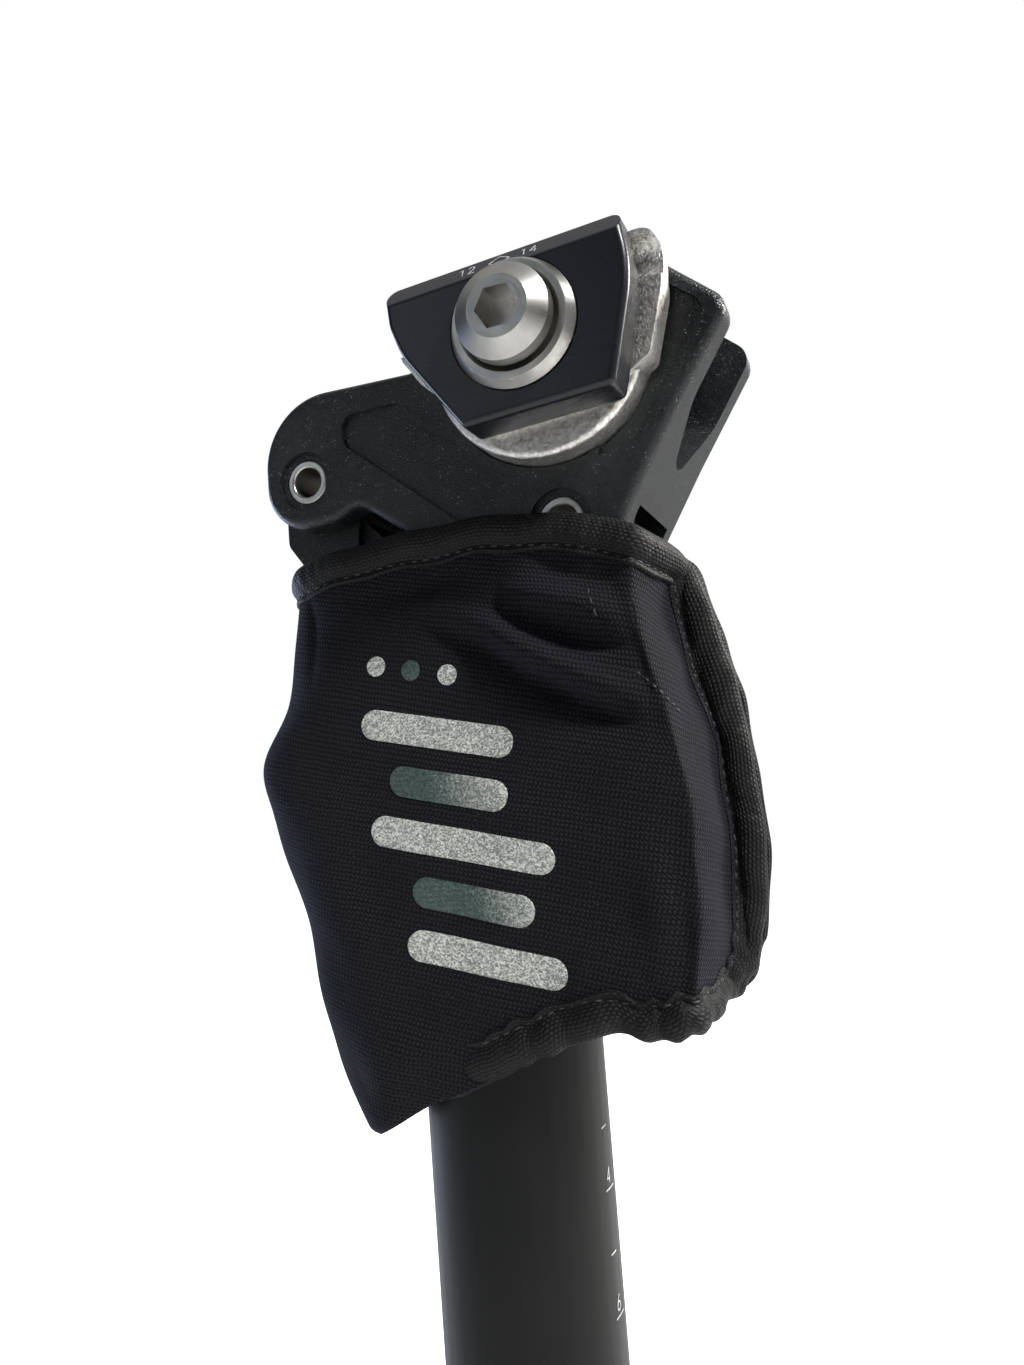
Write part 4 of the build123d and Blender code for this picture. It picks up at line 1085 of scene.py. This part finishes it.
def floor():
    """Pale round floor under the post: rings (r cos a, r sin a) of two radii, with its middle open
    by a millimetre under the tube."""
    turns = np.linspace(0, 2 * np.pi, 96, endpoint=False)
    radius, turn = np.meshgrid(FLOOR_RADII, turns, indexing="ij")
    level = np.full(radius.shape, -DATUM - FLOOR_DROP)
    points = np.stack([radius * np.cos(turn), radius * np.sin(turn), level], axis=-1)
    made = grid_object("floor", points[::-1], round_columns=True)
    f = Finish("pale_floor")
    lift = f.math("MULTIPLY", f.node("LightPath").outputs["Is Camera Ray"], 0.8)
    f.set(Base_Color=f.ramp(f.noise(3.0), [(0.0, 0.86), (1.0, 0.90)]), Roughness=0.9,
          Emission_Color=(1, 1, 1, 1), Emission_Strength=lift)
    made.data.materials.append(f.material)


def soft_light(name, place, aim, size, power, colour=(1, 1, 1)):
    """Area light at a place, facing an aim, both in metres."""
    data = bpy.data.lights.new(name, "AREA")
    data.shape, data.size, data.energy, data.color = "DISK", size, power, colour
    light = bpy.data.objects.new(name, data)
    back = unit(np.array(place) - np.array(aim))
    side = unit(np.cross((0, 0, 1), back))
    light.matrix_world = Matrix([
        (*row, place[k]) for k, row in enumerate(np.stack([side, np.cross(back, side), back], axis=1))
    ] + [(0, 0, 0, 1)])
    bpy.context.scene.collection.objects.link(light)


def white_room():
    """World light: bright behind the object and above it, dim on the camera's side, and plain white to
    look at."""
    world = bpy.data.worlds.new("white_room")
    world.use_nodes = True
    tree = world.node_tree
    bpy.context.scene.world = world
    def add(kind):
        return tree.nodes.new("ShaderNode" + kind)
    place, dot, ramp = add("TexCoord"), add("VectorMath"), add("ValToRGB")
    paths, mix = add("LightPath"), add("MixShader")
    dim, plain_white = tree.nodes["Background"], add("Background")
    dot.operation = "DOT_PRODUCT"
    dot.inputs[1].default_value = (-0.40, -0.65, 0.65)
    ramp.color_ramp.elements[0].position, ramp.color_ramp.elements[1].position = 0.0, 0.8
    ramp.color_ramp.elements[0].color = (0.03, 0.032, 0.037, 1)
    ramp.color_ramp.elements[1].color = (0.62, 0.62, 0.62, 1)
    tree.links.new(place.outputs["Generated"], dot.inputs[0])
    tree.links.new(dot.outputs["Value"], ramp.inputs["Fac"])
    tree.links.new(ramp.outputs["Color"], dim.inputs["Color"])
    tree.links.new(paths.outputs["Is Camera Ray"], mix.inputs["Fac"])
    tree.links.new(dim.outputs[0], mix.inputs[1])
    tree.links.new(plain_white.outputs[0], mix.inputs[2])
    plain_white.inputs["Color"].default_value = (1, 1, 1, 1)
    tree.links.new(mix.outputs[0], tree.nodes["World Output"].inputs["Surface"])


def camera():
    """Camera close by on the left and a little behind, looking slightly up and leaning a little."""
    data = bpy.data.cameras.new("camera")
    data.lens, data.sensor_width = 27.03, 36.0
    data.clip_start, data.clip_end = 0.01, 100.0
    right = np.array([-0.93049, -0.35819, -0.07669])
    down = np.array([0.10423, -0.05818, -0.99285])
    ahead = np.array([0.35117, -0.93183, 0.09147])
    place = (-0.06849, 0.16903, 0.27455)
    made = bpy.data.objects.new("camera", data)
    made.matrix_world = Matrix([
        (*row, place[k]) for k, row in enumerate(np.stack([right, -down, -ahead], axis=1))
    ] + [(0, 0, 0, 1)])
    bpy.context.scene.collection.objects.link(made)
    bpy.context.scene.camera = made


floor()
white_room()
HEAD = (-0.015, 0.0, 0.335)
soft_light("key", (-0.85, 0.35, 1.15), HEAD, 0.22, 19.0)
soft_light("rim", (-0.95, -0.70, 0.80), HEAD, 0.4, 17.0, (1.0, 0.97, 0.92))
soft_light("fill", (0.6, 0.9, 0.7), HEAD, 0.8, 1.2, (0.85, 0.92, 1.0))
soft_light("left_rim", (0.95, -0.25, 0.3), HEAD, 0.5, 5.0, (0.55, 0.70, 1.0))
camera()
bpy.context.scene.view_settings.view_transform = "Standard"
